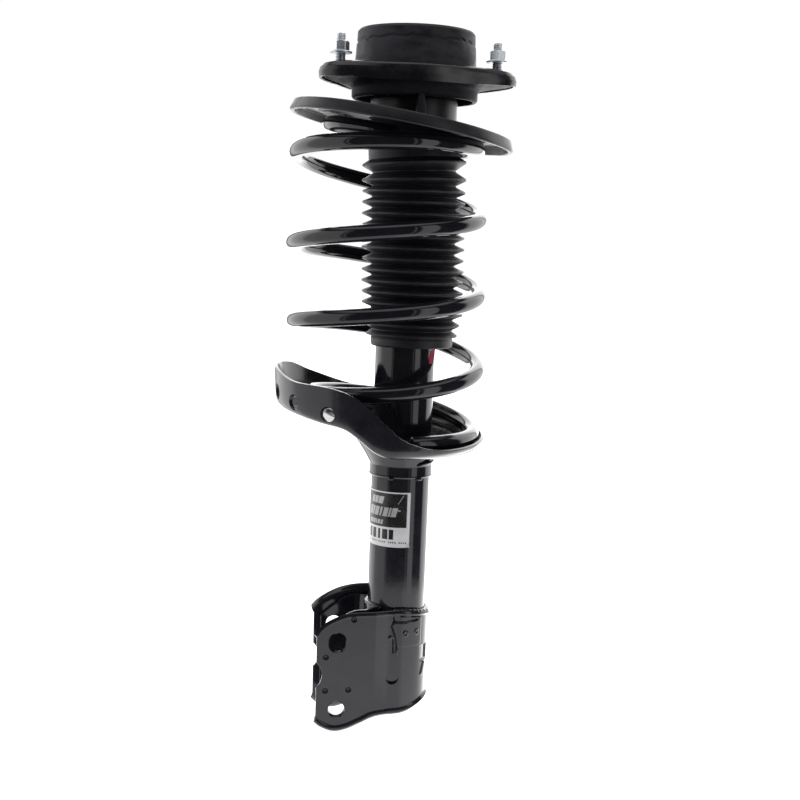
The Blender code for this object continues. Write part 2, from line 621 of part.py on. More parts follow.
def build_mount_shells():
    angles = [i * 360 / SHELL_STATIONS for i in range(SHELL_STATIONS)]
    plate_rows, housing_rows = [], []
    for degrees in reversed(angles):
        w = ear_weight(degrees)
        edge = MOUNT_SIDE_R + EAR_REACH * w
        fall = 4 + 4.8 * w
        foot = FLANGE_FOOT + EAR_FOOT_RISE * w
        plate_rows.append([(*on_circle(r, degrees, x), z) for r, x, z in (
            (PLATE_HOLE_R, 0, PLATE_TOP - 1), (49.6, 0, PLATE_TOP - 1), (50.6, 0, PLATE_TOP),
            (edge - fall, STUD_CIRCLE_X, PLATE_TOP), (edge - fall * 0.45, STUD_CIRCLE_X, PLATE_TOP - 1.2),
            (edge - 1.0, STUD_CIRCLE_X, PLATE_TOP - 4.2), (edge, STUD_CIRCLE_X, PLATE_TOP - 7.5),
            (edge - 0.5, STUD_CIRCLE_X, foot))])
        middle = (edge + CUP_R) / 2 - 1
        lip = 6 - 3.6 * w
        housing_rows.append([(*on_circle(r, degrees, x), z) for r, x, z in (
            (edge - 3.2, STUD_CIRCLE_X, foot + lip), (edge - 3.4, STUD_CIRCLE_X, foot + lip / 2),
            (edge - 4.2, STUD_CIRCLE_X, foot + lip / 4), (middle, STUD_CIRCLE_X / 2, foot + 0.5 * (1 - w)),
            (CUP_R + 1.6, 0, FLANGE_FOOT - 0.4), (CUP_R, 0, FLANGE_FOOT - 2.5), (CUP_R, 0, CUP_FOOT + 1.5),
            (CUP_R - 1.2, 0, CUP_FOOT), (CUP_MOUTH_R, 0, CUP_FOOT))])
    plate_rows = [list(row) for row in zip(*plate_rows)]
    housing_rows = [list(row) for row in zip(*housing_rows)]
    plate = sheet("mount_plate", plate_rows, PLATE_SHEET, BLACK_PAINT, closed=True)
    sheet("mount_housing", housing_rows, PLATE_SHEET, BLACK_PAINT, closed=True)
    for i, degrees in enumerate(STUD_ANGLES):
        x, y = on_circle(STUD_CIRCLE_R, degrees, STUD_CIRCLE_X)
        boolean(plate, rod_cutter(f"stud_hole_{i + 1}", STUD_R + GAP, (x, y, PLATE_TOP), (0, 0, 1), 20, 16))


def build_mount_inside():
    seat = PLATE_TOP - 1 + GAP
    turned("mount_rubber", [
        (45.4, 566.0), (47.2, 564.0), (47.2, 557.4), (46.3, 556.4), (47.6, 555.2), (49.2, seat),
        (PLATE_HOLE_R - 0.5, seat), (PLATE_HOLE_R - 0.5, seat - 4), (42.0, RACE_TOP + 2.6),
        (14.4, RACE_TOP + 2.6), (14.4, 537.0), (20.0, 541.0), (30.0, 543.0), (36.0, 558.0), (39.0, 566.0)],
        RUBBER)
    shank = ROD_THREAD_R + GAP
    tube_ring("mount_inner_sleeve", 14.0, shank, ROD_SHOULDER + GAP, 540.6, DARK_STEEL, steps=HIDDEN_STEPS)
    tube_ring("mount_support_plate", 46.5, 14.4, RACE_TOP + GAP, RACE_TOP + 2.3, DARK_STEEL,
              steps=HIDDEN_STEPS)
    tube_ring("rod_washer", 15.0, shank, 540.9, 543.2, ZINC, steps=HIDDEN_STEPS)
    hex_nut("rod_nut", 19.0, shank, 543.5, 553.0, ZINC)


def build_fasteners():
    tip = STUD_R - 0.7
    plate_foot = PLATE_TOP - PLATE_SHEET
    stud = turned("stud", [(0, STUD_TIP), (tip, STUD_TIP), (STUD_R, STUD_TIP - 1.2),
                           (STUD_R, plate_foot - GAP), (5.2, plate_foot - GAP), (5.2, plate_foot - 3),
                           (0, plate_foot - 3)], ZINC, 12, ring=False)
    flange_top = NUT_FOOT + NUT_FLANGE_T
    nut = turned("nut", [(0, flange_top + 1), (NUT_HEX_AF / 2 - 0.3, flange_top + 1),
                         (NUT_FLANGE_R, flange_top - 0.4), (NUT_FLANGE_R, NUT_FOOT), (0, NUT_FOOT)],
                 ZINC, 18, ring=False)
    corner = NUT_HEX_AF / math.sqrt(3)
    hexagon = turned("hexagon", [(0, NUT_TOP), (NUT_HEX_AF / 2, NUT_TOP), (corner, NUT_TOP - 1),
                                 (corner, NUT_FOOT + 0.5), (0, NUT_FOOT + 0.5)],
                     None, 6, ring=False, group=CUTTERS)
    bore = rod_cutter("nut_bore", STUD_R + GAP, (0, 0, (NUT_FOOT + NUT_TOP) / 2), (0, 0, 1), 20, 12)
    boolean(nut, hexagon, "UNION")
    boolean(nut, bore)
    stud_mesh = baked_mesh(stud, "stud")
    nut_mesh = baked_mesh(nut, "stud_nut")
    hide_cutter(hexagon)
    for i, degrees in enumerate(STUD_ANGLES):
        x, y = on_circle(STUD_CIRCLE_R, degrees, STUD_CIRCLE_X)
        for name, mesh in (("stud", stud_mesh), ("stud_nut", nut_mesh)):
            made = add_object(f"{name}_{i + 1}", mesh, ZINC)
            made.location = (x * MM, y * MM, 0)
            made.rotation_euler = (0, 0, math.radians(degrees))


def build_bearing():
    lower_top = BALL_Z - BALL_R - 0.25
    upper_foot = BALL_Z + BALL_R + 0.25
    tube_ring("bearing_lower_race", RACE_OUT, RACE_IN, NECK_TOP + GAP, lower_top, BRIGHT_STEEL,
              steps=HIDDEN_STEPS)
    tube_ring("bearing_upper_race", RACE_OUT, RACE_IN, upper_foot, RACE_TOP, BRIGHT_STEEL,
              steps=HIDDEN_STEPS)
    cage = tube_ring("ball_cage", BALL_CIRCLE_R + 3.3, BALL_CIRCLE_R - 3.3, BALL_Z - 1, BALL_Z + 1,
                     BUSH_PLASTIC, steps=HIDDEN_STEPS)
    pitch = 360 / BALLS
    places = [Vector((*on_circle(BALL_CIRCLE_R, (i + FIRST_BALL) * pitch), BALL_Z)) * MM
              for i in range(BALLS)]
    bm = bmesh.new()
    for place in places:
        bmesh.ops.create_cone(bm, cap_ends=True, segments=8, radius1=(BALL_R + 0.3) * MM,
                              radius2=(BALL_R + 0.3) * MM, depth=6 * MM, matrix=Matrix.Translation(place))
    pockets = object_from_bmesh("cage_pockets", bm, None, CUTTERS)
    hide_cutter(pockets)
    boolean(cage, pockets)
    bm = bmesh.new()
    bmesh.ops.create_uvsphere(bm, u_segments=8, v_segments=5, radius=BALL_R * MM)
    ball = object_from_bmesh("ball_01", bm, BRIGHT_STEEL)
    for i, place in enumerate(places):
        made = ball if i == 0 else add_object(f"ball_{i + 1:02d}", ball.data, BRIGHT_STEEL)
        made.location = place


for existing in list(bpy.data.objects):
    bpy.data.objects.remove(existing)

PART = collection("strut_assembly")
CUTTERS = collection("cutters", hidden=True)
BLACK_PAINT = material("black_paint", (0.012, 0.012, 0.014), 0.18)
SATIN_PLASTIC = material("satin_plastic", (0.02, 0.02, 0.021), 0.45)
RUBBER = material("rubber", (0.018, 0.018, 0.019), 0.7)
FOAM = material("foam", (0.75, 0.7, 0.55), 0.8)
ZINC = material("zinc", (0.62, 0.68, 0.74), 0.3, 1.0)
CHROME = material("chrome", (0.8, 0.8, 0.82), 0.08, 1.0)
BRIGHT_STEEL = material("bright_steel", (0.6, 0.6, 0.6), 0.3, 1.0)
DARK_STEEL = material("dark_steel", (0.25, 0.25, 0.26), 0.45, 1.0)
BUSH_PLASTIC = material("bush_plastic", (0.08, 0.08, 0.08), 0.5)
LABEL_PAPER = material("label_paper", (0.8, 0.8, 0.8), 0.4)

build_tube()
build_damper_inside()
build_rod()
build_bracket()
build_lower_seat()
build_support_collar()
build_spring()
build_upper_seat()
build_upper_pad()
build_boot()
build_mount_shells()
build_mount_inside()
build_fasteners()
build_bearing()
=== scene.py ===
"""Looks for the strut assembly: fine geometry, finishes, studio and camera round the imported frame.

The object is a damper with its coil spring, dust boot, top mount and knuckle bracket. Sizes are in
millimetres and become metres where a mesh is made. +Z runs up the damper's axis, and the bracket's ears
reach towards -X.
"""

import math
import random

import bmesh
import bpy
from mathutils import Matrix, Vector, noise


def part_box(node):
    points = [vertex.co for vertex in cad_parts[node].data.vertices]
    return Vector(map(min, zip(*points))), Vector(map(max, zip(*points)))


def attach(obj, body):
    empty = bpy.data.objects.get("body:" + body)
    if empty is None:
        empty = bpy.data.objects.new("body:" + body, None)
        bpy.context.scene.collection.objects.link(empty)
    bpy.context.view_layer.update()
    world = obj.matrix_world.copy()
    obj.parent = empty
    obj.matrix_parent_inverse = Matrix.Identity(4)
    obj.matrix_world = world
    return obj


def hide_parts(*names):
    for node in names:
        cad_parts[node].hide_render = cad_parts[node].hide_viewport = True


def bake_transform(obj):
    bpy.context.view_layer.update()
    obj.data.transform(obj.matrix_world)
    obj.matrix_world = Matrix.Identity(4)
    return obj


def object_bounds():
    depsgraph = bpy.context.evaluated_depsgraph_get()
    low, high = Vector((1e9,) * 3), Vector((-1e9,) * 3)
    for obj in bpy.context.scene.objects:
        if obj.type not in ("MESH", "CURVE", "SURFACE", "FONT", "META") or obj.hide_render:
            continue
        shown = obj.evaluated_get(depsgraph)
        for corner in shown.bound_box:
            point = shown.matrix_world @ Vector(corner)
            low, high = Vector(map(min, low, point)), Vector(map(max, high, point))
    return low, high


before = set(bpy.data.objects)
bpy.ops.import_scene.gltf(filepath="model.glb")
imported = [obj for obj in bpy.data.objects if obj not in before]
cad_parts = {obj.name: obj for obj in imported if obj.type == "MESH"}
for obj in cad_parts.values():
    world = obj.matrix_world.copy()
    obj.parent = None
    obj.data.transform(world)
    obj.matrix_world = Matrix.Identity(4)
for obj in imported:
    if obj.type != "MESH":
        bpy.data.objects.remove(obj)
CAD_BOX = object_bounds()

MM = 0.001
# The radius that stands for the axis where a turned end closes
AXIS_R = 0.01


def span(node):
    """The lowest and highest corner of a CAD node, in millimetres."""
    low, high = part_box(node)
    return low / MM, high / MM


# Damper
TUBE_LOW, TUBE_HIGH = span("strut_tube")
TUBE_R = TUBE_HIGH.y
TUBE_TOP = TUBE_HIGH.z
TUBE_BORE = TUBE_R - 2.2
BASE_FOOT = span("base_cup")[0].z
CAP_LOW, CAP_HIGH = span("tube_cap")
ROD_R = span("piston_rod")[1].y
ROD_THREAD_R = 6.0
LABEL_LOW, LABEL_HIGH = span("tube_label")
LABEL_START, LABEL_END = 175.0, 285.0
MARK_START, MARK_FOOT, MARK_HEIGHT = -46.0, 307.0, 13.0

# Knuckle bracket
SHEET = 3.0
WRAP_R = TUBE_R + 3.3
EAR_Y = 31.2
EAR_TIP_X = -72.0
JOGGLE_START_X = -22.0
JOGGLE_END_X = -5.0
LIP = 2.2
LIP_DEPTH = 4.0
TOP_LIP_DEPTH = 2.4
BOLT_X = -53.6
UPPER_BOLT_Z = 65.6
LOWER_BOLT_Z = 3.6
BOLT_HOLE_R = 7.3
SLOT_HALF_TRAVEL = 1.5
NOTCH_R = 15.7
NOTCH_X = EAR_TIP_X + 5.0 - NOTCH_R
NOTCH_Z = 35.5
NEAR_TOP = ((-72, 72), (-67, 78.5), (-60, 84), (-51, 88.2), (-42, 90.7), (-20, 91.8), (0, 92.8))
FAR_TOP = ((-72, 80.2), (-67, 85.7), (-58, 91.7), (-46, 97.2), (-30, 100.2), (-12, 99.7), (0, 96.2))
EAR_BOTTOM = ((-72, -6), (-66, -11), (-56, -14.7), (-46, -13), (-34, -7.5), (-22, -1.9), (0, 0.7))
WRAP_SIDE_TOP = 87.5
WRAP_SIDE_BOTTOM = 11.5
BRACE_TOP = ((-66, 75), (-56, 84), (-41, 93.5), (-25, 95), (0, 96))
BRACE_TIP_X = -66.0
BRACE_LIFT = 6.5

# Lower spring seat and its collar
SEAT_CENTRE_X = -20.0
SEAT_R = 88.0
SEAT_SHEET = 2.8
SEAT_HUB_R = 26.0
SEAT_HUB_Z = 246.0
GROOVE_CENTRE_X = -11.2
GROOVE_R = 72.0
FLOOR_HEIGHTS = ((-80, 239.1), (-40, 239.5), (-7, 242.6), (45, 248.6), (90, 256.3), (135, 264.4),
                 (173, 271), (205, 268.5), (232, 263.5), (246, 260), (255, 252), (263, 243),
                 (271, 239.1), (280, 239.1))
RIM_HEIGHTS = ((-80, 251.5), (-70, 247), (-52, 244.5), (-20, 247), (20, 253), (70, 268), (105, 280),
               (130, 292), (150, 301), (184, 301.5), (212, 294), (238, 292), (252, 285.5), (264, 271),
               (274, 257), (280, 251.5))
WALL_HOLES = ((192, 282), (212.5, 276.5), (236.5, 270.5))
WALL_HOLE_R = 5.5
COLLAR_LOW, COLLAR_HIGH = span("seat_support_collar")
COLLAR_RING_TOP = COLLAR_LOW.z + 10
COLLAR_RING_R = 27.2
# (first and last angle, radius) of the tack welds under the collar
COLLAR_TACKS = ((241, 252, 1.7), (292, 305, 1.8), (60, 74, 1.8), (135, 150, 1.7))

# Coil spring: (turns round from +X, height, centre x, mean radius)
WIRE_R = 6.5
COIL_STATIONS = ((-0.225, 247.5, -11.9, 72.0), (0.0, 250.8, -11.9, 72.0), (0.25, 271.0, -11.4, 72.0),
                 (0.5, 280.5, -11.2, 72.2), (0.75, 288.5, -12.3, 73.8), (1.0, 306.4, -13.5, 75.6),
                 (1.25, 330.0, -15.3, 77.3), (1.5, 339.5, -17.0, 78.5), (1.75, 351.0, -17.6, 78.5),
                 (2.0, 367.0, -18.0, 78.4), (2.25, 391.0, -18.3, 78.2), (2.5, 402.0, -18.6, 78.0),
                 (2.75, 413.5, -18.7, 77.8), (3.0, 427.6, -18.8, 77.5), (3.25, 453.0, -18.8, 77.0),
                 (3.5, 472.5, -18.6, 76.0), (3.75, 479.3, -17.0, 73.5), (4.0, 480.0, -14.0, 66.8),
                 (4.25, 486.0, -9.5, 62.2), (4.5, 494.0, -7.5, 60.1), (4.75, 483.5, -7.5, 60.0))
COIL_END = 4.72
COIL_STILL_TURN = 0.1
COIL_FREE_TURN = 4.1

# Upper spring seat
SEAT_TILT = math.radians(8.5)
UPPER_SEAT_X = -8.9
UPPER_SEAT_Z = 494.6
UPPER_SEAT_R = 92.0
UPPER_SEAT_RIM = 9.0
UPPER_SEAT_TOP_R = 89.5
UPPER_SEAT_RECESS_R = 88.0
UPPER_SEAT_RECESS = 1.7
NECK_R = 35.0
NECK_TOP = span("upper_spring_seat")[1].z
SPIGOT_R = 35.5
SPIGOT_FOOT = 468.0
RIB_ANGLES = (269, 89)
RIB_FOOT_R = 60.0
RIB_FOOT_HALF = 4.5
RIB_TOP_HALF = 2.0
PAD_THICK = 1.5

# Dust boot and bump stop
PLEATS = 16
TIP_HEIGHTS = ((0, 466.6), (1, 454.0), (3, 436.2), (7, 400.5), (11, 365.0), (15, 330.4))
PLEAT_TIP_R = 43.0
PLEAT_ROOT_R = 33.2
BOOT_WALL = 1.5
BOOT_NECK_R = 37.4
BOOT_NECK_TOP = 482.3
CUFF_R = 34.7
CUFF_TOP = 328.5
CUFF_FOOT = 321.0
BOOT_LEAN = math.radians(1.28)
BOOT_SHIFT_X = 1.76
# (height, how far the pleats slope up towards +X there, in degrees)
BOOT_SLOPES = ((330, 0.0), (400, 0.1), (436, 0.5), (445, 0.8), (454, 2.0), (466, 3.4), (484, 3.4))
BOOT_PIVOT_Z = 476.0
STOP_LOW, STOP_HIGH = span("bump_stop")

# Top mount
STUD_CIRCLE_R = 68.5
STUD_CIRCLE_X = -2.2
STUD_ANGLES = (208.4, 339.6, 94.0)
STUD_R = 4.0
STUD_PITCH = 1.25
STUD_HEAD_R = 5.2
STUD_LOW, STUD_HIGH = span("stud_1")
NUT_LOW, NUT_HIGH = span("stud_nut_1")
NUT_FLANGE_R = 9.0
NUT_FLANGE_T = 1.6
NUT_HEX_AF = 12.0
PLATE_TOP = span("mount_plate")[1].z
PLATE_SHEET = 2.2
PLATE_HOLE_R = 44.5
MOUNT_SIDE_R = 59.5
EAR_REACH = 25.2
EAR_SPREAD = math.radians(24)
CUP_R = 50.8
CUP_FOOT = span("mount_housing")[0].z
FLANGE_FOOT = 524.0
EAR_FOOT_RISE = 1.8
CUP_MOUTH_R = 47.0
RUBBER_LOW, RUBBER_HIGH = span("mount_rubber")
RUBBER_DENTS = (222.0, 325.0, 105.0)
BALL_R = 2.35


# --- shapes ---


def on_circle(radius, degrees, centre_x=0.0):
    a = math.radians(degrees)
    return centre_x + radius * math.cos(a), radius * math.sin(a)


def circle(radius, z, steps):
    """A level ring of points round the axis."""
    return [(*on_circle(radius, i * 360 / steps), z) for i in range(steps)]


def clamp(value, low=0.0, high=1.0):
    return min(max(value, low), high)


def smooth(value):
    t = clamp(value)
    return t * t * (3 - 2 * t)


def smooth_value(stations, at):
    """Catmull-Rom through (position, value...) stations: the value, or a tuple of values."""
    last = len(stations) - 1
    at = clamp(at, stations[0][0], stations[last][0])
    i = max(k for k in range(last) if stations[k][0] <= at)
    before, low, high, after = (stations[min(max(k, 0), last)] for k in (i - 1, i, i + 1, i + 2))
    width = high[0] - low[0]
    t = (at - low[0]) / width
    values = []
    for k in range(1, len(low)):
        start_slope = (high[k] - before[k]) / (high[0] - before[0]) * width
        end_slope = (after[k] - low[k]) / (after[0] - low[0]) * width
        values.append(
            (2 * t**3 - 3 * t**2 + 1) * low[k] + (t**3 - 2 * t**2 + t) * start_slope
            + (3 * t**2 - 2 * t**3) * high[k] + (t**3 - t**2) * end_slope
        )
    return values[0] if len(values) == 1 else tuple(values)


def add_object(name, mesh, look):
    made = bpy.data.objects.new(name, mesh)
    bpy.context.scene.collection.objects.link(made)
    if look:
        mesh.materials.append(look)
    return made


def shade(mesh, degrees):
    mesh.shade_smooth()
    mesh.set_sharp_from_angle(angle=math.radians(degrees))


def from_bmesh(name, bm, look, degrees=35):
    mesh = bpy.data.meshes.new(name)
    bm.to_mesh(mesh)
    bm.free()
    shade(mesh, degrees)
    return add_object(name, mesh, look)


def rounded(corners, fillet, closed=True, steps=4):
    """Points of an outline whose corners are rounded; a corner's radius can be its third value."""
    points = []
    count = len(corners)
    for i, corner in enumerate(corners):
        here = Vector(corner[:2])
        radius = corner[2] if len(corner) > 2 else fillet
        if radius == 0 or (not closed and i in (0, count - 1)):
            points.append(tuple(here))
            continue
        back = Vector(corners[i - 1][:2]) - here
        ahead = Vector(corners[(i + 1) % count][:2]) - here
        longest = 0.47 * min(back.length, ahead.length)
        reach = min(radius / math.tan(max(back.angle(ahead) / 2, 0.05)), longest)
        start = here + back.normalized() * reach
        end = here + ahead.normalized() * reach
        for k in range(steps + 1):
            t = k / steps
            points.append(tuple(start * (1 - t) ** 2 + here * (2 * t * (1 - t)) + end * t * t))
    return points


def join_rings(bm, rings, closed=True, ends=True):
    """Quads between rings of equally many vertices, and a face over each end."""
    count = len(rings[0])
    for low, high in zip(rings, rings[1:]):
        for i in range(count if closed else count - 1):
            j = (i + 1) % count
            bm.faces.new((low[i], low[j], high[j], high[i]))
    if ends:
        bm.faces.new(reversed(rings[0]))
        bm.faces.new(rings[-1])


def loft(name, rows, look, row_closed=False, ring=False, caps=False, degrees=35, recalc=True):
    """Quads between rows of equally many (x, y, z) points. A ring joins the last row to the first."""
    bm = bmesh.new()
    grid = [[bm.verts.new(Vector(point) * MM) for point in row] for row in rows]
    if ring:
        grid.append(grid[0])
    join_rings(bm, grid, row_closed, caps)
    if recalc:
        bmesh.ops.recalc_face_normals(bm, faces=bm.faces)
    return from_bmesh(name, bm, look, degrees)


def sheet(name, rows, thickness, look, row_closed):
    """A sheet-metal shell: rows of points on its outer face, thickened behind it, with softened edges."""
    made = loft(name, rows, look, row_closed=row_closed, recalc=False)
    thicken(made, thickness)
    soften(made, thickness * 0.22)
    return settle(made)


def turned(name, profile, look, steps=96, ring=True, degrees=35):
    """A turned solid from (radius, height) points. Without a ring its ends are on the axis."""
    rows = [circle(max(radius, 0.0), z, steps) for radius, z in profile]
    made = loft(name, rows, look, row_closed=True, ring=ring, degrees=degrees)
    if not ring:
        bm = bmesh.new()
        bm.from_mesh(made.data)
        bmesh.ops.remove_doubles(bm, verts=bm.verts, dist=1e-7)
        bmesh.ops.dissolve_degenerate(bm, edges=bm.edges, dist=1e-8)
        bmesh.ops.recalc_face_normals(bm, faces=bm.faces)
        bm.to_mesh(made.data)
        bm.free()
        shade(made.data, degrees)
    return made


def sweep(name, path, radius_at, look, segments, flat):
    """A bar along a path; radius_at gives its half width at each point, and flat its relative height."""
    rows = []
    points = [Vector(p) for p in path]
    for i, point in enumerate(points):
        ahead = points[min(i + 1, len(points) - 1)]
        back = points[max(i - 1, 0)]
        tangent = (ahead - back).normalized()
        side = Vector((point.x, point.y, 0))
        side = (side - tangent * side.dot(tangent)).normalized()
        up = tangent.cross(side)
        radius = radius_at(i)
        row = []
        for k in range(segments):
            a = math.tau * k / segments
            row.append(point + side * (radius * math.cos(a)) + up * (radius * flat * math.sin(a)))
        rows.append(row)
    return loft(name, rows, look, row_closed=True, caps=True, degrees=50)


def settle(made, degrees=32):
    """Turns an object's modifiers into its mesh."""
    bpy.context.view_layer.update()
    graph = bpy.context.evaluated_depsgraph_get()
    mesh = bpy.data.meshes.new_from_object(made.evaluated_get(graph))
    made.modifiers.clear()
    made.data = mesh
    shade(mesh, degrees)
    return made


def thicken(made, thickness, even=True):
    step = made.modifiers.new("thickness", "SOLIDIFY")
    step.thickness = thickness * MM
    step.offset = -1.0
    step.use_even_offset = even


def soften(made, width):
    step = made.modifiers.new("edges", "BEVEL")
    step.width = width * MM
    step.segments = 2
    step.limit_method = "ANGLE"
    step.angle_limit = math.radians(50)
    step.harden_normals = False


def cut(target, cutter):
    step = target.modifiers.new("cut", "BOOLEAN")
    step.operation = "DIFFERENCE"
    step.solver = "EXACT"
    step.object = cutter
    settle(target)
    bpy.data.objects.remove(cutter)


# --- finishes ---


class Nodes:
    """A short way to write a node tree."""

    def __init__(self, tree):
        self.tree = tree

    def new(self, kind, **settings):
        node = self.tree.nodes.new(kind)
        for key, value in settings.items():
            setattr(node, key, value)
        return node

    def plug(self, value, socket):
        if isinstance(value, bpy.types.NodeSocket):
            self.tree.links.new(value, socket)
        elif value is not None:
            socket.default_value = value

    def math(self, operation, a, b=None):
        node = self.new("ShaderNodeMath", operation=operation)
        for value, socket in zip((a, b), node.inputs):
            self.plug(value, socket)
        return node.outputs[0]

    def ramp(self, value, low, high, to_low=0.0, to_high=1.0):
        node = self.new("ShaderNodeMapRange", interpolation_type="SMOOTHSTEP")
        for value, socket in zip((value, low, high, to_low, to_high), node.inputs):
            self.plug(value, socket)
        return node.outputs[0]

    def noise(self, where, scale, detail=3.0, rough=0.5, stretch=None):
        if stretch:
            mapping = self.new("ShaderNodeMapping")
            self.plug(where, mapping.inputs["Vector"])
            mapping.inputs["Scale"].default_value = stretch
            where = mapping.outputs[0]
        node = self.new("ShaderNodeTexNoise")
        self.plug(where, node.inputs["Vector"])
        node.inputs["Scale"].default_value = scale
        node.inputs["Detail"].default_value = detail
        node.inputs["Roughness"].default_value = rough
        return node.outputs["Fac"]

    def mix(self, share, a, b):
        node = self.new("ShaderNodeMix", data_type="RGBA")
        self.plug(share, node.inputs["Factor"])
        self.plug(a, node.inputs["A"])
        self.plug(b, node.inputs["B"])
        return node.outputs["Result"]


def rgb(r, g, b):
    return (r, g, b, 1.0)


def surface(name, low, high, roughness, metallic=0.0, grain=0.0, grain_scale=900.0, peel=0.0,
            peel_scale=260.0, mottle_scale=70.0, dust=0.0, stretch=None, ior=1.5):
    """A finish: two mottled colours, a roughness range, orange peel and grain in millimetres, and dust."""
    made = bpy.data.materials.new(name)
    made.use_nodes = True
    nodes = Nodes(made.node_tree)
    shader = made.node_tree.nodes["Principled BSDF"]
    where = nodes.new("ShaderNodeTexCoord").outputs["Object"]
    mottle = nodes.noise(where, mottle_scale, 4.0, 0.6, stretch)
    colour = nodes.mix(nodes.ramp(mottle, 0.35, 0.65), rgb(*low), rgb(*high))
    rough = nodes.ramp(mottle, 0.3, 0.7, roughness[0], roughness[1])
    if dust:
        specks = nodes.ramp(nodes.noise(where, 1400.0, 1.0), 0.72, 0.8, 0.0, dust)
        colour = nodes.mix(specks, colour, rgb(0.3, 0.3, 0.3))
        rough = nodes.math("MAXIMUM", rough, nodes.math("MULTIPLY", specks, 0.8))
    nodes.plug(colour, shader.inputs["Base Color"])
    nodes.plug(rough, shader.inputs["Roughness"])
    shader.inputs["Metallic"].default_value = metallic
    shader.inputs["IOR"].default_value = ior
    normal = None
    for height, scale, detail in ((peel, peel_scale, 2.0), (grain, grain_scale, 3.0)):
        if not height:
            continue
        bump = nodes.new("ShaderNodeBump")
        bump.inputs["Distance"].default_value = height * MM
        nodes.plug(nodes.noise(where, scale, detail, 0.5, stretch), bump.inputs["Height"])
        if normal:
            nodes.plug(normal, bump.inputs["Normal"])
        normal = bump.outputs[0]
    if normal:
        nodes.plug(normal, shader.inputs["Normal"])
    return made


BLACK_PAINT = surface("black_paint", (0.01, 0.0103, 0.0145), (0.014, 0.0144, 0.0195), (0.06, 0.12),
                      peel=0.035, peel_scale=150.0, grain=0.002, grain_scale=1500.0, dust=0.12)
SPRING_PAINT = surface("spring_paint", (0.008, 0.0083, 0.012), (0.012, 0.0123, 0.017), (0.05, 0.1),
                       peel=0.04, peel_scale=110.0, dust=0.08)
SATIN_PAINT = surface("satin_paint", (0.011, 0.0113, 0.016), (0.016, 0.0164, 0.022), (0.13, 0.22),
                      peel=0.05, peel_scale=220.0, grain=0.006, grain_scale=1300.0, dust=0.2)
MOUNT_PAINT = surface("mount_paint", (0.007, 0.0072, 0.0095), (0.011, 0.0112, 0.014), (0.2, 0.32),
                      peel=0.06, peel_scale=160.0, grain=0.008, grain_scale=1300.0, dust=0.3)
HOUSING_PAINT = surface("housing_paint", (0.026, 0.0264, 0.034), (0.034, 0.0344, 0.043), (0.42, 0.55),
                        peel=0.05, peel_scale=150.0, ior=1.12)
SATIN_PLASTIC = surface("satin_plastic", (0.011, 0.0113, 0.016), (0.016, 0.0164, 0.022), (0.3, 0.42),
                        ior=1.35, grain=0.012, grain_scale=1800.0, mottle_scale=40.0, dust=0.3)
BOOT_RUBBER = surface("boot_rubber", (0.012, 0.0123, 0.0175), (0.016, 0.0164, 0.0225), (0.44, 0.56),
                      grain=0.01, grain_scale=1400.0, mottle_scale=55.0, dust=0.25)
MOUNT_RUBBER = surface("mount_rubber", (0.014, 0.0143, 0.019), (0.042, 0.0425, 0.052), (0.4, 0.7),
                       ior=1.32, grain=0.02, grain_scale=1200.0, mottle_scale=45.0, dust=0.2,
                       stretch=(1.0, 1.0, 2.5))
FOAM = surface("foam", (0.62, 0.55, 0.38), (0.74, 0.68, 0.5), (0.75, 0.9), grain=0.08,
               grain_scale=1600.0)
ZINC = surface("zinc_plate", (0.66, 0.7, 0.75), (0.8, 0.83, 0.86), (0.34, 0.5), metallic=1.0,
               grain=0.008, grain_scale=1500.0, mottle_scale=180.0)
CHROME = surface("chromed_rod", (0.7, 0.7, 0.72), (0.78, 0.78, 0.8), (0.04, 0.08), metallic=1.0,
                 grain=0.0008, grain_scale=900.0, stretch=(1.0, 1.0, 20.0))
BRIGHT_STEEL = surface("bright_steel", (0.5, 0.5, 0.5), (0.62, 0.62, 0.63), (0.16, 0.32), metallic=1.0,
                       grain=0.003, grain_scale=1100.0, mottle_scale=120.0)
DARK_STEEL = surface("dark_steel", (0.12, 0.12, 0.125), (0.2, 0.2, 0.205), (0.35, 0.55), metallic=1.0,
                     grain=0.012, grain_scale=1000.0, mottle_scale=110.0)
BUSH_PLASTIC = surface("bush_plastic", (0.05, 0.05, 0.052), (0.075, 0.075, 0.078), (0.4, 0.55),
                       grain=0.01, grain_scale=1500.0)
RED_PAINT = surface("red_paint", (0.32, 0.003, 0.028), (0.4, 0.006, 0.04), (0.35, 0.5), peel=0.05,
                    peel_scale=300.0, ior=1.3)
FILM_WHITE = surface("film_white", (0.68, 0.68, 0.7), (0.76, 0.76, 0.77), (0.25, 0.35), grain=0.004,
                     peel=0.04, peel_scale=120.0)
FILM_BLACK = surface("film_black", (0.012, 0.012, 0.013), (0.02, 0.02, 0.021), (0.22, 0.32), grain=0.004,
                     peel=0.04, peel_scale=120.0)
FILM_GREY = surface("film_grey", (0.4, 0.4, 0.41), (0.5, 0.5, 0.51), (0.25, 0.35), grain=0.004)
FLOOR = surface("pale_floor", (0.9, 0.9, 0.9), (0.92, 0.92, 0.92), (0.6, 0.7), grain=0.02,
                grain_scale=300.0)


# --- damper ---


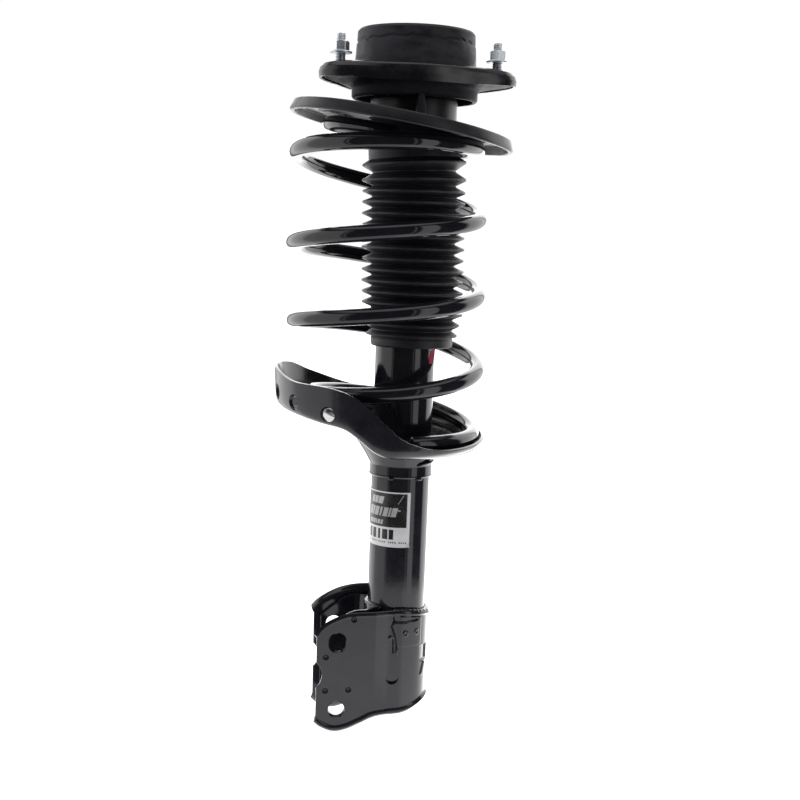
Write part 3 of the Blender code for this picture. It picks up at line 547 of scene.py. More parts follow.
def build_tube():
    outer = [(TUBE_R, TUBE_TOP - 0.4), (TUBE_R, TUBE_LOW.z + 0.3)]
    profile = [(TUBE_BORE + 0.4, TUBE_TOP), (TUBE_R - 0.5, TUBE_TOP)] + outer
    profile += [(TUBE_R - 0.5, TUBE_LOW.z), (TUBE_BORE + 0.4, TUBE_LOW.z), (TUBE_BORE, TUBE_LOW.z + 0.5),
                (TUBE_BORE, TUBE_TOP - 0.5)]
    tube = turned("damper_tube", rounded(profile, 0.3), BLACK_PAINT, 128)
    keep(tube, "strut_body", "strut_tube", slot="black_paint")
    foot = BASE_FOOT
    cup = [(0, 9.0, 0), (TUBE_BORE - 2.0, 9.0), (TUBE_BORE - 0.3, 8.0), (TUBE_BORE - 0.3, 3.0),
           (TUBE_R, 3.0), (TUBE_R, 2.6), (TUBE_R - 2.6, foot, 2.0), (14.0, foot, 0.6),
           (12.6, foot + 0.9), (0, foot + 0.9, 0)]
    base = turned("tube_base", rounded(cup, 0.4, closed=False), BLACK_PAINT, 96, ring=False)
    keep(base, "strut_body", "base_cup", slot="black_paint")
    top = CAP_HIGH.z
    bore = ROD_R + 1.5
    crimp = [(TUBE_R - 1.4, top - 0.2, 0.8), (TUBE_R, top - 1.6, 1.2), (TUBE_R, TUBE_TOP + 0.3),
             (TUBE_BORE - 0.3, TUBE_TOP + 0.3), (TUBE_BORE - 0.3, CAP_LOW.z), (bore, CAP_LOW.z),
             (bore, top - 1.8), (bore + 3, top - 1.8), (bore + 4.5, top), (TUBE_R - 5, top)]
    cap = turned("tube_crimp", rounded(crimp, 0.4), BLACK_PAINT, 96)
    keep(cap, "strut_body", "tube_cap", slot="black_paint")


def bar(u, v, start, width, foot, top, slant=0.25):
    """Whether (u, v) is in a leaning block."""
    lean = (v - foot) * slant
    return foot <= v <= top and start <= u - lean <= start + width


def label_print(degrees, z):
    """0 film, 1 dark ink, 2 pale ink. The print is plain blocks, with no lettering."""
    u = math.radians(degrees - LABEL_START) * TUBE_R
    v = z - LABEL_LOW.z
    height = LABEL_HIGH.z - LABEL_LOW.z
    if v > height - 1.3 or u > 45.8:
        return 0
    if v > 17.5:
        rows = ((((10.2, 3.6), (14.6, 3.4), (18.8, 5.2)), 37.6, 43.8),
                (((6.8, 4.0), (11.6, 2.4), (14.8, 4.4), (20.4, 2.0), (24.0, 4.2), (29.0, 1.8), (31.6, 4.6)),
                 26.6, 34.6),
                (((7.4, 2.2), (10.2, 2.2), (13.0, 2.8), (16.4, 1.4), (18.6, 2.6), (22.0, 2.2)), 19.6, 23.6))
        for blocks, foot, top in rows:
            for start, width in blocks:
                if bar(u, v, start, width, foot, top):
                    return 2
        slash = (v - 38.4) / 7.6
        if 0 <= slash <= 1 and abs(u - (38.2 + 4.6 * slash)) < 0.35:
            return 2
        if 38.0 < u < 40.4 and 31.8 < v < 33.2:
            return 2
        return 1
    for start, width in ((8.0, 3.6), (13.0, 4.6), (20.0, 2.4), (24.4, 5.0), (30.6, 4.2)):
        if bar(u, v, start, width, 6.9, 15.6, 0.0):
            return 1
    if 3.4 < v < 4.9 and u > 8 and (u * 0.9) % 1.7 < 1.0 and (u % 9.5) > 1.6:
        return 1
    return 0


def build_label():
    cells = 0.4
    label_r = TUBE_R + 0.38
    wide = math.radians(LABEL_END - LABEL_START) * TUBE_R
    across = round(wide / cells)
    up = round((LABEL_HIGH.z - LABEL_LOW.z) / cells)
    rows = []
    for i in range(up + 1):
        z = LABEL_LOW.z + (LABEL_HIGH.z - LABEL_LOW.z) * i / up
        row = []
        for j in range(across + 1):
            degrees = LABEL_START + (LABEL_END - LABEL_START) * j / across
            corner = clamp((j / across - 0.9) / 0.1) * clamp((0.09 - i / up) / 0.09)
            row.append((*on_circle(label_r + 1.4 * corner * corner, degrees), z + 0.5 * corner))
        rows.append(row)
    label = loft("tube_sticker", rows, FILM_WHITE, recalc=False)
    for ink in (FILM_BLACK, FILM_GREY):
        label.data.materials.append(ink)
    for face in label.data.polygons:
        degrees = math.degrees(math.atan2(face.center.y, face.center.x)) % 360
        face.material_index = label_print(degrees, face.center.z / MM)
    thicken(label, 0.22)
    settle(label, 60)
    keep(label, "strut_body", "tube_label", slot="label_film")


def keep(made, body, *nodes, slot=None):
    """Rides a piece on its body and hides the CAD nodes it stands for."""
    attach(made, body)
    if nodes:
        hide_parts(*nodes)


def build_red_mark():
    """A dab of inspection paint on the tube."""
    rows = []
    for i in range(17):
        v = i / 16
        row = []
        for j in range(15):
            u = j / 14
            edge = min(u, 1 - u, v, 1 - v) * 6
            swell = 0.25 * smooth(edge)
            wobble = noise.noise(Vector((u * 3, v * 3, 3.1))) * 1.2
            degrees = MARK_START + 3 * v + u * (13 + 18 * v) + wobble
            height = MARK_FOOT + MARK_HEIGHT * v + wobble
            row.append((*on_circle(TUBE_R - 0.12 + swell, degrees), height))
        rows.append(row)
    mark = loft("inspection_mark", rows, RED_PAINT, recalc=False)
    thicken(mark, 0.2, even=False)
    settle(mark)
    keep(mark, "strut_body")


def weld_bead(name, path, radius, seed, lumps=1.0):
    """A painted weld bead: a flattened bar whose radius ripples along its length."""
    draw = random.Random(seed)
    phase = draw.random() * math.tau
    wander = [draw.uniform(-0.1, 0.1) for _ in path]

    def radius_at(i):
        ripple = (0.07 * math.sin(i * 1.15 + phase) + 0.5 * wander[i]) * lumps
        ends = smooth(min(i, len(path) - 1 - i) / 4 + 0.25)
        return radius * (1 + ripple) * ends

    keep(sweep(name, path, radius_at, BLACK_PAINT, 14, 0.8), "strut_body")


# --- knuckle bracket ---


def joggle_share(t):
    """How much of the ears' step inwards is done: a tight bend, a straight slope and a wider bend."""
    start, end = 0.14, 0.3
    full = 1 - (start + end) / 2
    if t < start:
        return t * t / (2 * start) / full
    if t > 1 - end:
        return 1 - (1 - t) ** 2 / (2 * end) / full
    return (t - start / 2) / full


def wrap_stations():
    """(x, y, outward x, outward y, top, bottom, s) round the bracket; s runs along the sheet from x = 0."""
    joggle = EAR_Y - WRAP_R
    ear = [EAR_TIP_X + (JOGGLE_START_X - EAR_TIP_X) * i / 56 for i in range(57)]
    ear += [JOGGLE_START_X + (JOGGLE_END_X - JOGGLE_START_X) * i / 40 for i in range(1, 41)]
    ear += [JOGGLE_END_X * (1 - i / 15) for i in range(1, 15)]
    near, far = [], []
    for x in ear:
        t = clamp((x - JOGGLE_START_X) / (JOGGLE_END_X - JOGGLE_START_X))
        y = EAR_Y - joggle * joggle_share(t)
        slope = (joggle_share(clamp(t + 0.02)) - joggle_share(clamp(t - 0.02))) / 0.04
        slope *= joggle / (JOGGLE_END_X - JOGGLE_START_X)
        n = Vector((-slope, 1)).normalized()
        low = smooth_value(EAR_BOTTOM, x)
        near.append((x, -y, n.x, -n.y, smooth_value(NEAR_TOP, x), low, x))
        far.append((x, y, n.x, n.y, smooth_value(FAR_TOP, x), low, math.pi * WRAP_R - x))
    path = near
    fine, coarse = 64, 90
    arc = [-90 + 48 * i / fine for i in range(fine)] + [-42 + 132 * i / coarse for i in range(coarse + 1)]
    for degrees in arc:
        x, y = on_circle(WRAP_R, degrees)
        side = clamp(math.cos(math.radians(degrees)))
        front_top = NEAR_TOP[-1][1] if degrees < 0 else FAR_TOP[-1][1]
        top = front_top + (WRAP_SIDE_TOP - front_top) * side**2
        bottom = EAR_BOTTOM[-1][1] + (WRAP_SIDE_BOTTOM - EAR_BOTTOM[-1][1]) * side**1.5
        path.append((x, y, x / WRAP_R, y / WRAP_R, top, bottom, math.radians(degrees + 90) * WRAP_R))
    return path + far[::-1]


def line_distance(s, z, line):
    """How far (s, z) is from a line of points."""
    best = 1e9
    here = Vector((s, z))
    for a, b in zip(line, line[1:]):
        a, b = Vector(a), Vector(b)
        t = clamp((here - a).dot(b - a) / (b - a).length_squared)
        best = min(best, (a + (b - a) * t - here).length)
    return best


DIMPLES = ((-39.7, 86.8), (-63.7, 52.3), (-63.8, 21.1), (-43.3, 22.0))
SEAMS = (((-4.8, 91.5), (-4.2, 84.9), (-6.1, 81.2), (-2.7, 70.8), (-1.3, 60.2)),
         ((-4.9, 68.0), (-4.2, 56.9)),
         ((-4.2, 84.6), (5.0, 84.2), (18.5, 85.8)))
RINGS = ((6.5, 73.3), (17.4, 74.0))
LANCE = (-4.3, 31.0)
LANCE_R = 5.6
POCKET = ((22.5, 42.5), (43.5, 60.0))


def pressing(s, z):
    """How far the sheet stands out at s along it and height z: dimples, seams, a lance and a pocket."""
    out = 0.0
    if -9 < s < 21 and z > 54:
        for line in SEAMS:
            out -= 1.3 * math.exp(-((line_distance(s, z, line) / 0.75) ** 2))
        out += 0.9 * math.exp(-((math.hypot(s + 7.2, z - 69.5) / 1.4) ** 2))
        out += 0.7 * math.exp(-(((s + 1.4) / 0.9) ** 2 + ((z - 54.5) / 3.4) ** 2))
        for centre_s, centre_z in RINGS:
            away = math.hypot(s - centre_s, (z - centre_z) * 0.8)
            out += 0.7 * math.exp(-(((away - 1.6) / 0.6) ** 2))
    plate = smooth((s - 1.0) / 1.2) * smooth((24.0 - s) / 1.5) * smooth((z - 61.2) / 0.9)
    out += 0.35 * plate
    (s0, s1), (z0, z1) = POCKET
    inside = smooth((s - s0) / 2.0) * smooth((s1 - s) / 2.0)
    inside = inside * smooth((z - z0) / 2.0) * smooth((z1 - z) / 2.0)
    out -= 2.2 * inside
    side_lance = smooth((2.6 - line_distance(s, z, ((26.2, 32.8), (30.0, 42.1)))) / 1.6)
    out += 1.3 * side_lance * smooth((z - 30.0) / 3.0)
    return out


def lip_rows(bottom, top, inner, far):
    """(height, share of the rolled lip, share of the pressings) up the sheet; far is 1 on the far ear."""
    top_depth = TOP_LIP_DEPTH + 1.4 * far
    top_reach = 1 + 0.9 * far
    steps = (0.0, 0.12, 0.25, 0.4, 0.55, 0.7, 0.85, 1.0)
    rows = [(bottom + LIP_DEPTH * d, (1 - d) ** 2, 0.0) for d in steps]
    clear = top - bottom - LIP_DEPTH - top_depth
    for i in range(1, inner):
        up = clear * i / inner
        rows.append((bottom + LIP_DEPTH + up, 0.0, smooth(min(up, clear - up) / 1.5)))
    return rows + [(top - top_depth * d, top_reach * (1 - d) ** 2, 0.0) for d in reversed(steps)]


def add_flared_cutters(bm, outer_y, sheet_thickness, spread):
    """The two bolt holes and the notch between them, flared at each face of both ears' sheets."""
    inner_y = outer_y - sheet_thickness
    depths = ((outer_y + 6, spread + 2), (outer_y + 0.05, spread + 0.05), (outer_y - spread, 0.0),
              (inner_y + spread, 0.0), (inner_y - 0.05, spread + 0.05), (inner_y - 4, spread + 0.05))
    stations = [(-y, more) for y, more in depths] + [(y, more) for y, more in reversed(depths)]
    outlines = ((BOLT_X, LOWER_BOLT_Z, BOLT_HOLE_R, 0.0, 48),
                (BOLT_X, UPPER_BOLT_Z, BOLT_HOLE_R, SLOT_HALF_TRAVEL, 48),
                (NOTCH_X, NOTCH_Z, NOTCH_R, 0.0, 96))
    for x, z, radius, travel, count in outlines:
        rings = []
        for y, more in stations:
            ring = []
            for i in range(count):
                a = math.tau * (i + 0.5) / count
                shift = travel if math.sin(a) > 0 else -travel
                ring.append(bm.verts.new(Vector((x + (radius + more) * math.cos(a), y,
                                                 z + shift + (radius + more) * math.sin(a))) * MM))
            rings.append(ring)
        join_rings(bm, rings)
    bmesh.ops.recalc_face_normals(bm, faces=bm.faces)


def add_punch_cutters(bm):
    """Round punch marks in both ears, and a half-moon lance whose floor rises to meet the sheet."""
    for x, z in DIMPLES:
        for side in (-1, 1):
            place = Vector((x, side * (EAR_Y + 0.5), z)) * MM
            bmesh.ops.create_uvsphere(bm, u_segments=24, v_segments=16, radius=2.7 * MM,
                                      matrix=Matrix.Translation(place))
    depth = 8.0
    tilt = Matrix.Rotation(math.radians(90 + 17), 4, "X")
    out = -WRAP_R + 1.1 - depth / 2
    lance = Matrix.Translation(Vector((LANCE[0], out, LANCE[1])) * MM) @ tilt
    bmesh.ops.create_cone(bm, cap_ends=True, segments=48, radius1=LANCE_R * MM, radius2=LANCE_R * MM,
                          depth=depth * MM, matrix=lance)


def build_bracket():
    columns = []
    inner = 210
    for x, y, nx, ny, top, bottom, s in wrap_stations():
        column = []
        for z, lip, flat in lip_rows(bottom, top, inner, smooth((s - 2.6 * WRAP_R) / (0.5 * WRAP_R))):
            out = LIP * lip + pressing(s, z) * flat
            column.append((x + nx * out, y + ny * out, z))
        columns.append(column)
    rows = [list(row) for row in zip(*columns)]
    bracket = sheet("knuckle_bracket_shell", rows, SHEET, BLACK_PAINT, row_closed=False)
    # One cut for all: a second Boolean on the cut sheet doesn't give the same result each time.
    cutters = bmesh.new()
    add_flared_cutters(cutters, EAR_Y, SHEET, 0.8)
    add_punch_cutters(cutters)
    cut(bracket, from_bmesh("ear_cutter", cutters, None))
    keep(bracket, "strut_body", "knuckle_bracket", slot="black_paint")
    path = []
    for x, y, _, _, top, _, s in wrap_stations():
        if s > -6 and x > -12:
            degrees = math.degrees(math.atan2(y, x))
            path.append((*on_circle(TUBE_R + 1.5, degrees), top + 1.4))
    weld_bead("bracket_weld", path[::2], 3.0, 11)


def build_brace():
    wall_y = EAR_Y - SHEET - 0.3
    hug = TUBE_R + 0.3
    straight = [(BRACE_TIP_X + (-33 - BRACE_TIP_X) * i / 30, -wall_y) for i in range(31)]
    bend = [(-33, -wall_y, 0), (-29.2, -wall_y, 6), on_circle(hug, 228) + (0,)]
    corner = rounded(bend, 3.0, closed=False)
    arc = [on_circle(hug, degrees) for degrees in range(225, 180, -3)]
    half = straight + corner[1:] + arc
    path = half + [(-hug, 0)] + [(x, -y) for x, y in reversed(half)]
    rows = []
    for i in range(49):
        row = []
        for x, y in path:
            bottom = smooth_value(EAR_BOTTOM, x) + BRACE_LIFT
            top = smooth_value(BRACE_TOP, x)
            row.append((x, y, bottom + (top - bottom) * i / 48))
        rows.append(row)
    brace = sheet("bracket_brace_shell", rows, SHEET, BLACK_PAINT, row_closed=False)
    cutters = bmesh.new()
    add_flared_cutters(cutters, wall_y, SHEET, 0.5)
    cut(brace, from_bmesh("brace_cutter", cutters, None))
    keep(brace, "strut_body", "bracket_brace", slot="black_paint")
    weld_path = []
    for degrees in range(236, 123, -3):
        top = smooth_value(BRACE_TOP, on_circle(hug, degrees)[0])
        weld_path.append((*on_circle(TUBE_R + 1.0, degrees), top + 0.4))
    weld_bead("brace_weld", weld_path, 2.6, 17, lumps=0.15)


# --- lower spring seat ---


def seat_section(degrees):
    """Points across the pan from its hub to its rim at one angle."""
    wrapped = degrees if degrees <= 280 else degrees - 360
    floor = smooth_value(FLOOR_HEIGHTS, wrapped)
    rim = smooth_value(RIM_HEIGHTS, wrapped)
    hub = SEAT_HUB_Z + (floor - SEAT_HUB_Z) * 0.15
    corners = [
        (SEAT_HUB_R, hub, 0.0), (SEAT_HUB_R + 14, hub + 0.5, 0.0),
        (GROOVE_R - 13, floor + 3.5, GROOVE_CENTRE_X), (GROOVE_R - 5, floor, GROOVE_CENTRE_X),
        (GROOVE_R + 4, floor, GROOVE_CENTRE_X), (SEAT_R - 5, floor + 0.8, SEAT_CENTRE_X),
        (SEAT_R - 1, floor + 3.6, SEAT_CENTRE_X), (SEAT_R, rim, SEAT_CENTRE_X)]
    corners = [Vector((*on_circle(r, degrees, centre_x), z)) for r, z, centre_x in corners]
    points = [corners[0]]
    for i in range(1, len(corners) - 1):
        before, here, after = corners[i - 1:i + 2]
        start = here + (before - here) * min(0.48, 9.0 / max((before - here).length, 0.1))
        end = here + (after - here) * min(0.48, 9.0 / max((after - here).length, 0.1))
        for k in range(5):
            t = k / 4
            points.append(start * (1 - t) ** 2 + here * (2 * t * (1 - t)) + end * t * t)
    last, rim_point = points[-1], corners[-1]
    for k in range(1, 13):
        points.append(last + (rim_point - last) * (k / 12))
    return points


def build_lower_seat():
    count = 180
    stations = [seat_section(i * 360 / count) for i in range(count)]
    rows = [list(row) for row in zip(*reversed(stations))]
    seat = sheet("lower_seat_pan", rows, SEAT_SHEET, SATIN_PAINT, row_closed=True)
    bm = bmesh.new()
    for degrees, z in WALL_HOLES:
        x, y = on_circle(SEAT_R, degrees, SEAT_CENTRE_X)
        axis = Vector((*on_circle(1, degrees), 0))
        side = Vector((-axis.y, axis.x, 0))
        rings = []
        for depth, radius in ((6, 2.4), (0.1, 0.6), (-0.5, 0.0), (-2.5, 0.0), (-3.1, 0.6), (-8, 0.8)):
            ring = []
            for i in range(40):
                a = math.tau * i / 40
                reach = WALL_HOLE_R + radius
                point = Vector((x, y, z)) + axis * depth + side * (reach * math.cos(a))
                ring.append(bm.verts.new((point + Vector((0, 0, reach * math.sin(a)))) * MM))
            rings.append(ring)
        join_rings(bm, rings)
    bmesh.ops.recalc_face_normals(bm, faces=bm.faces)
    cut(seat, from_bmesh("wall_cutter", bm, None))
    keep(seat, "strut_body", "lower_spring_seat", slot="black_paint")


def build_collar():
    foot, mouth = COLLAR_LOW.z, COLLAR_HIGH.z
    bore = TUBE_R + 0.3
    mouth_r = COLLAR_HIGH.y
    profile = [(mouth_r, mouth, 0.8), (COLLAR_RING_R + 4, COLLAR_RING_TOP + 7, 9),
               (COLLAR_RING_R, COLLAR_RING_TOP, 3), (COLLAR_RING_R, foot + 2.2, 0.6),
               (COLLAR_RING_R + 0.7, foot + 1.4, 0.5), (COLLAR_RING_R - 0.2, foot, 0.6), (bore, foot, 0.4),
               (bore, COLLAR_RING_TOP + 2, 3), (COLLAR_RING_R + 1.5, COLLAR_RING_TOP + 10, 6),
               (mouth_r - 2.5, mouth, 0.6)]
    collar = turned("seat_collar", rounded(profile, 0.5, steps=6), BLACK_PAINT, 128)
    keep(collar, "strut_body", "seat_support_collar", slot="black_paint")
    for i, (start, end, radius) in enumerate(COLLAR_TACKS):
        path = [(*on_circle(TUBE_R + 2.4, a), foot - 0.1) for a in range(start, end + 1)]
        weld_bead(f"collar_tack_{i + 1}", path, radius, 23 + i)
    seam = [(*on_circle(COLLAR_RING_R + 1.3 + 0.32 * k, 292 + 2.6 * k), COLLAR_RING_TOP + 1.4 + 0.35 * k)
            for k in range(13)]
    weld_bead("collar_seam_weld", seam, 1.5, 31)


# --- spring ---


def seat_plane(x):
    """The height at x of the upper seat's tilted middle plane."""
    return UPPER_SEAT_Z - math.tan(SEAT_TILT) * (x - UPPER_SEAT_X)


def coil_ceiling(x):
    return seat_plane(x) + (UPPER_SEAT_RECESS - 0.6 - PAD_THICK - WIRE_R) / math.cos(SEAT_TILT)


def build_spring():
    per_turn = 72
    start = COIL_STATIONS[0][0]
    count = round((COIL_END - start) * per_turn)
    path, turns = [], []
    for i in range(count + 1):
        turn = start + (COIL_END - start) * i / count
        z, centre_x, radius = smooth_value(COIL_STATIONS, turn)
        x, y = on_circle(radius, turn * 360, centre_x)
        path.append((x, y, min(z, coil_ceiling(x))))
        turns.append(turn)
    path = [Vector(p) for p in path]
    for _ in range(3):
        path = [path[0]] + [(a + b * 2 + c) / 4 for a, b, c in zip(path, path[1:], path[2:])] + [path[-1]]
    segments = 28
    # (how far in from the wire's end, share of its radius) of the softened ends
    ends = [(0.0, 0.8), (0.55, 0.95), (1.1, 1.0)]
    rows_path = [path[0] + (path[1] - path[0]).normalized() * d for d, _ in ends] + path[1:-1]
    rows_path += [path[-1] - (path[-1] - path[-2]).normalized() * d for d, _ in reversed(ends)]
    sizes = [s for _, s in ends] + [1.0] * (len(path) - 2) + [s for _, s in reversed(ends)]
    ring_turns = [turns[0]] * len(ends) + turns[1:-1] + [turns[-1]] * len(ends)
    tangents = [(path[1] - path[0]).normalized()] * len(ends)
    tangents += [(c - a).normalized() for a, c in zip(path, path[2:])]
    tangents += [(path[-1] - path[-2]).normalized()] * len(ends)
    rows = []
    for point, size, tangent, turn in zip(rows_path, sizes, tangents, ring_turns):
        side = Vector((*on_circle(1, turn * 360), 0))
        side = (side - tangent * side.dot(tangent)).normalized()
        up = tangent.cross(side)
        reach = WIRE_R * size
        rows.append([point + side * (reach * math.cos(math.tau * k / segments))
                     + up * (reach * math.sin(math.tau * k / segments)) for k in range(segments)])
    spring = loft("coil_spring_bar", rows, SPRING_PAINT, row_closed=True, caps=True, degrees=40)
    shares = [clamp((turn - COIL_STILL_TURN) / (COIL_FREE_TURN - COIL_STILL_TURN)) for turn in ring_turns]
    shares = [shares[i // segments] for i in range(len(rows) * segments)]
    weigh(spring, "coil_spring")


def weigh(made, node):
    """A soft piece between the damper and the upper seat: bakes its placement into its mesh and hides the
    CAD node it stands for.
    """
    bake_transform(made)
    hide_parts(node)


# --- upper spring seat and boot ---


def tilted(made, shift_x=0.0):
    """Turns a piece modelled round its own axis into the plane of the upper seat."""
    place = Matrix.Translation(Vector((UPPER_SEAT_X, 0, UPPER_SEAT_Z)) * MM)
    turn = place @ Matrix.Rotation(SEAT_TILT, 4, "Y") @ Matrix.Translation((shift_x * MM, 0, 0))
    made.data.transform(turn)
    return made


def build_upper_seat():
    half = UPPER_SEAT_RIM / 2
    recess = UPPER_SEAT_RECESS
    crest = UPPER_SEAT_TOP_R
    r = UPPER_SEAT_R
    disc = [(28.0, half), (46.0, half, 2), (48.0, half - 0.7, 2), (crest - 7, half - 0.7, 2),
            (crest - 5.6, half, 1.5), (crest - 0.5, half, 2.0), (r, 1.2 - half, 1.5), (r - 1.2, -half, 0.8),
            (UPPER_SEAT_RECESS_R, -half, 0.8), (UPPER_SEAT_RECESS_R - 1, recess, 1.2), (74.0, recess, 0.4),
            (73.6, recess - 0.4, 0.3), (72.6, recess - 0.4, 0.3), (72.2, recess, 0.4), (28.0, recess)]
    seat = tilted(turned("upper_seat_disc", rounded(disc, 0.5), SATIN_PLASTIC, 160))
    keep(seat, "upper_seat", "upper_spring_seat", slot="satin_plastic")
    neck = [(24.6, NECK_TOP, 0.4), (NECK_R - 1.0, NECK_TOP, 0.6), (NECK_R, NECK_TOP - 1.5, 0.8),
            (NECK_R, UPPER_SEAT_Z - 8, 0), (SPIGOT_R, UPPER_SEAT_Z - 12, 0),
            (SPIGOT_R, SPIGOT_FOOT + 1, 0.6), (SPIGOT_R - 1, SPIGOT_FOOT, 0.6),
            (28.6, SPIGOT_FOOT, 0.6), (28.0, 482, 0.5), (24.2, 482, 0.5)]
    sleeve = turned("upper_seat_neck", rounded(neck, 0.5), SATIN_PLASTIC, 96)
    keep(sleeve, "upper_seat", slot="satin_plastic")
    for i, degrees in enumerate(RIB_ANGLES):
        build_rib(f"upper_seat_rib_{i + 1}", degrees)
    top = recess - 0.3
    low = top - PAD_THICK
    pad = [(70, top, 0.3), (70.4, low, 0.5), (66, low, 0.3), (64.5, low + 0.6, 0.3), (56, low + 0.6, 0.3),
           (54.5, low, 0.3), (50, low, 0.4), (50, top, 0.3)]
    shift = COIL_STATIONS[-1][2] - UPPER_SEAT_X
    ring = tilted(turned("upper_seat_pad", rounded(pad, 0.3), MOUNT_RUBBER, 128), shift)
    keep(ring, "upper_seat", "upper_spring_pad", slot="rubber")


def build_rib(name, degrees):
    """A gusset beside the neck, thinner towards its rounded top and set into the disc."""
    sunk = UPPER_SEAT_RECESS + 1.4
    foot_out = seat_plane(on_circle(RIB_FOOT_R, degrees)[0]) + sunk
    foot_in = seat_plane(on_circle(33, degrees)[0]) + sunk
    crest = 516.6
    outline = [(33, 511, 0), (47.5, 511.3, 4), (52.6, crest, 1.6), (55.2, crest - 1.4, 1.2),
               (RIB_FOOT_R - 0.6, foot_out + 4.6, 1.5), (RIB_FOOT_R + 1.2, foot_out, 0), (33, foot_in, 0)]
    points = rounded(outline, 1.0, steps=5)
    centre = Vector((46.0, (foot_in + 511) / 2))
    taper = (RIB_FOOT_HALF - RIB_TOP_HALF) / (crest - foot_out)
    rows = []
    for side, back, inset in ((-1, 0.0, 0.8), (-1, 0.25, 0.25), (-1, 0.8, 0.0),
                              (1, 0.8, 0.0), (1, 0.25, 0.25), (1, 0.0, 0.8)):
        row = []
        for u, z in points:
            away = Vector((u, z)) - centre
            scale = (away.length - inset) / away.length
            half = RIB_TOP_HALF + taper * (crest - z) - back
            row.append((centre.x + away.x * scale, side * half, centre.y + away.y * scale))
        rows.append(row)
    rib = loft(name, rows, SATIN_PLASTIC, row_closed=True, caps=True)
    rib.data.transform(Matrix.Rotation(math.radians(degrees), 4, "Z"))
    keep(rib, "upper_seat", slot="satin_plastic")


def build_boot():
    tips = [smooth_value(TIP_HEIGHTS, i) for i in range(PLEATS)]
    outer = [(BOOT_NECK_R - 0.3, BOOT_NECK_TOP, 0.6), (BOOT_NECK_R + 0.3, BOOT_NECK_TOP - 1.5, 0.6),
             (BOOT_NECK_R, tips[0] + 3.8, 1.2)]
    inner = [(BOOT_NECK_R - 1.4, BOOT_NECK_TOP, 0.4), (BOOT_NECK_R - 1.4, tips[0] + 4.4, 1.2)]
    for i, tip_z in enumerate(tips):
        tip_r = PLEAT_TIP_R if i < PLEATS - 2 else PLEAT_TIP_R - 2.0 * (i - PLEATS + 3)
        tip_r += 0.25 * math.sin(i * 2.1)
        outer += [(tip_r - 0.5, tip_z + 0.75, 0.7), (tip_r - 0.5, tip_z - 0.75, 0.7)]
        inner.append((tip_r - BOOT_WALL, tip_z, 1.0))
        if i < PLEATS - 1:
            root_z = (tip_z + tips[i + 1]) / 2
            outer.append((PLEAT_ROOT_R, root_z, 1.1))
            inner.append((PLEAT_ROOT_R - BOOT_WALL, root_z, 1.0))
    outer += [(CUFF_R - 0.7, CUFF_TOP + 0.8, 1.0), (CUFF_R, CUFF_TOP - 1.2, 1.0),
              (CUFF_R, CUFF_FOOT + 0.9, 0.8), (CUFF_R - 0.9, CUFF_FOOT, 0.6)]
    inner += [(CUFF_R - 2.6, CUFF_TOP + 0.8, 1.0), (CUFF_R - 2.3, CUFF_FOOT, 0.5)]
    profile = rounded(outer + inner[::-1], 0.5)
    boot = turned("boot_bellows", profile, BOOT_RUBBER, 96, degrees=50)
    for vertex in boot.data.vertices:
        x, z = vertex.co.x, vertex.co.z / MM
        vertex.co.z += x * math.tan(math.radians(smooth_value(BOOT_SLOPES, z)))
        vertex.co.x += (BOOT_SHIFT_X + (BOOT_PIVOT_Z - z) * math.tan(BOOT_LEAN)) * MM
    weigh(boot, "dust_boot")


def build_bump_stop():
    top, foot = STOP_HIGH.z, STOP_LOW.z
    waist = (top + foot) / 2
    bore = ROD_R + 0.4
    profile = [(20.0, top, 0.8), (21.0, top - 2, 1.2), (21.0, waist + 6, 2.5), (17.5, waist + 1, 2.0),
               (20.0, waist - 4, 2.0), (20.0, waist - 10, 2.0), (15.5, waist - 14, 1.8),
               (17.0, waist - 18, 1.8), (15.0, foot, 1.2), (bore + 0.6, foot, 0.6),
               (bore, foot + 1.2, 0.6), (bore, top, 0.6)]
    stop = turned("bump_stop_foam", rounded(profile, 1.0, steps=6), FOAM, 72)
    weigh(stop, "bump_stop")


# --- top mount ---


def ear_weight(degrees):
    """1 at a stud's angle, falling to 0 between the ears."""
    total = 0.0
    for stud in STUD_ANGLES:
        off = math.radians((degrees - stud + 180) % 360 - 180)
        total += math.exp(-((off / EAR_SPREAD) ** 2))
    return min(total, 1.0)


def plate_section(degrees):
    w = ear_weight(degrees)
    edge = MOUNT_SIDE_R + EAR_REACH * w
    fall = 4 + 4.8 * w
    foot = FLANGE_FOOT + EAR_FOOT_RISE * w
    top = PLATE_TOP
    return [(PLATE_HOLE_R, top - 1, 0), (48.6, top - 1, 0.6), (50.6, top, 0.8), (edge - fall, top, 2.5),
            (edge - fall * 0.45, top - 1.2, 2.5), (edge - 1.0, top - 4.2, 2.0), (edge, top - 7.5, 1.5),
            (edge - 0.5, foot, 0)]


def housing_section(degrees):
    w = ear_weight(degrees)
    edge = MOUNT_SIDE_R + EAR_REACH * w
    foot = FLANGE_FOOT + EAR_FOOT_RISE * w
    middle = (edge + CUP_R) / 2 - 1
    lip = 6 - 3.6 * w
    return [(edge - 3.2, foot + lip, 0), (edge - 3.4, foot + lip / 2, 1.0),
            (edge - 4.2, foot + lip / 4, 1.5), (middle, foot + 0.5 * (1 - w), 3.0),
            (CUP_R + 1.6, FLANGE_FOOT - 0.4, 3.0),
            (CUP_R, FLANGE_FOOT - 2.5, 2.0), (CUP_R, CUP_FOOT + 1.5, 1.2), (CUP_R - 1.2, CUP_FOOT, 1.0),
            (CUP_MOUTH_R, CUP_FOOT, 0)]


def ear_shift(radius, degrees):
    """How far off the axis the mount's shells are at this radius: their ears are centred with the studs."""
    edge = MOUNT_SIDE_R + EAR_REACH * ear_weight(degrees)
    start = CUP_R + 1.6
    return STUD_CIRCLE_X * clamp((radius - start) / (edge - 5 - start))


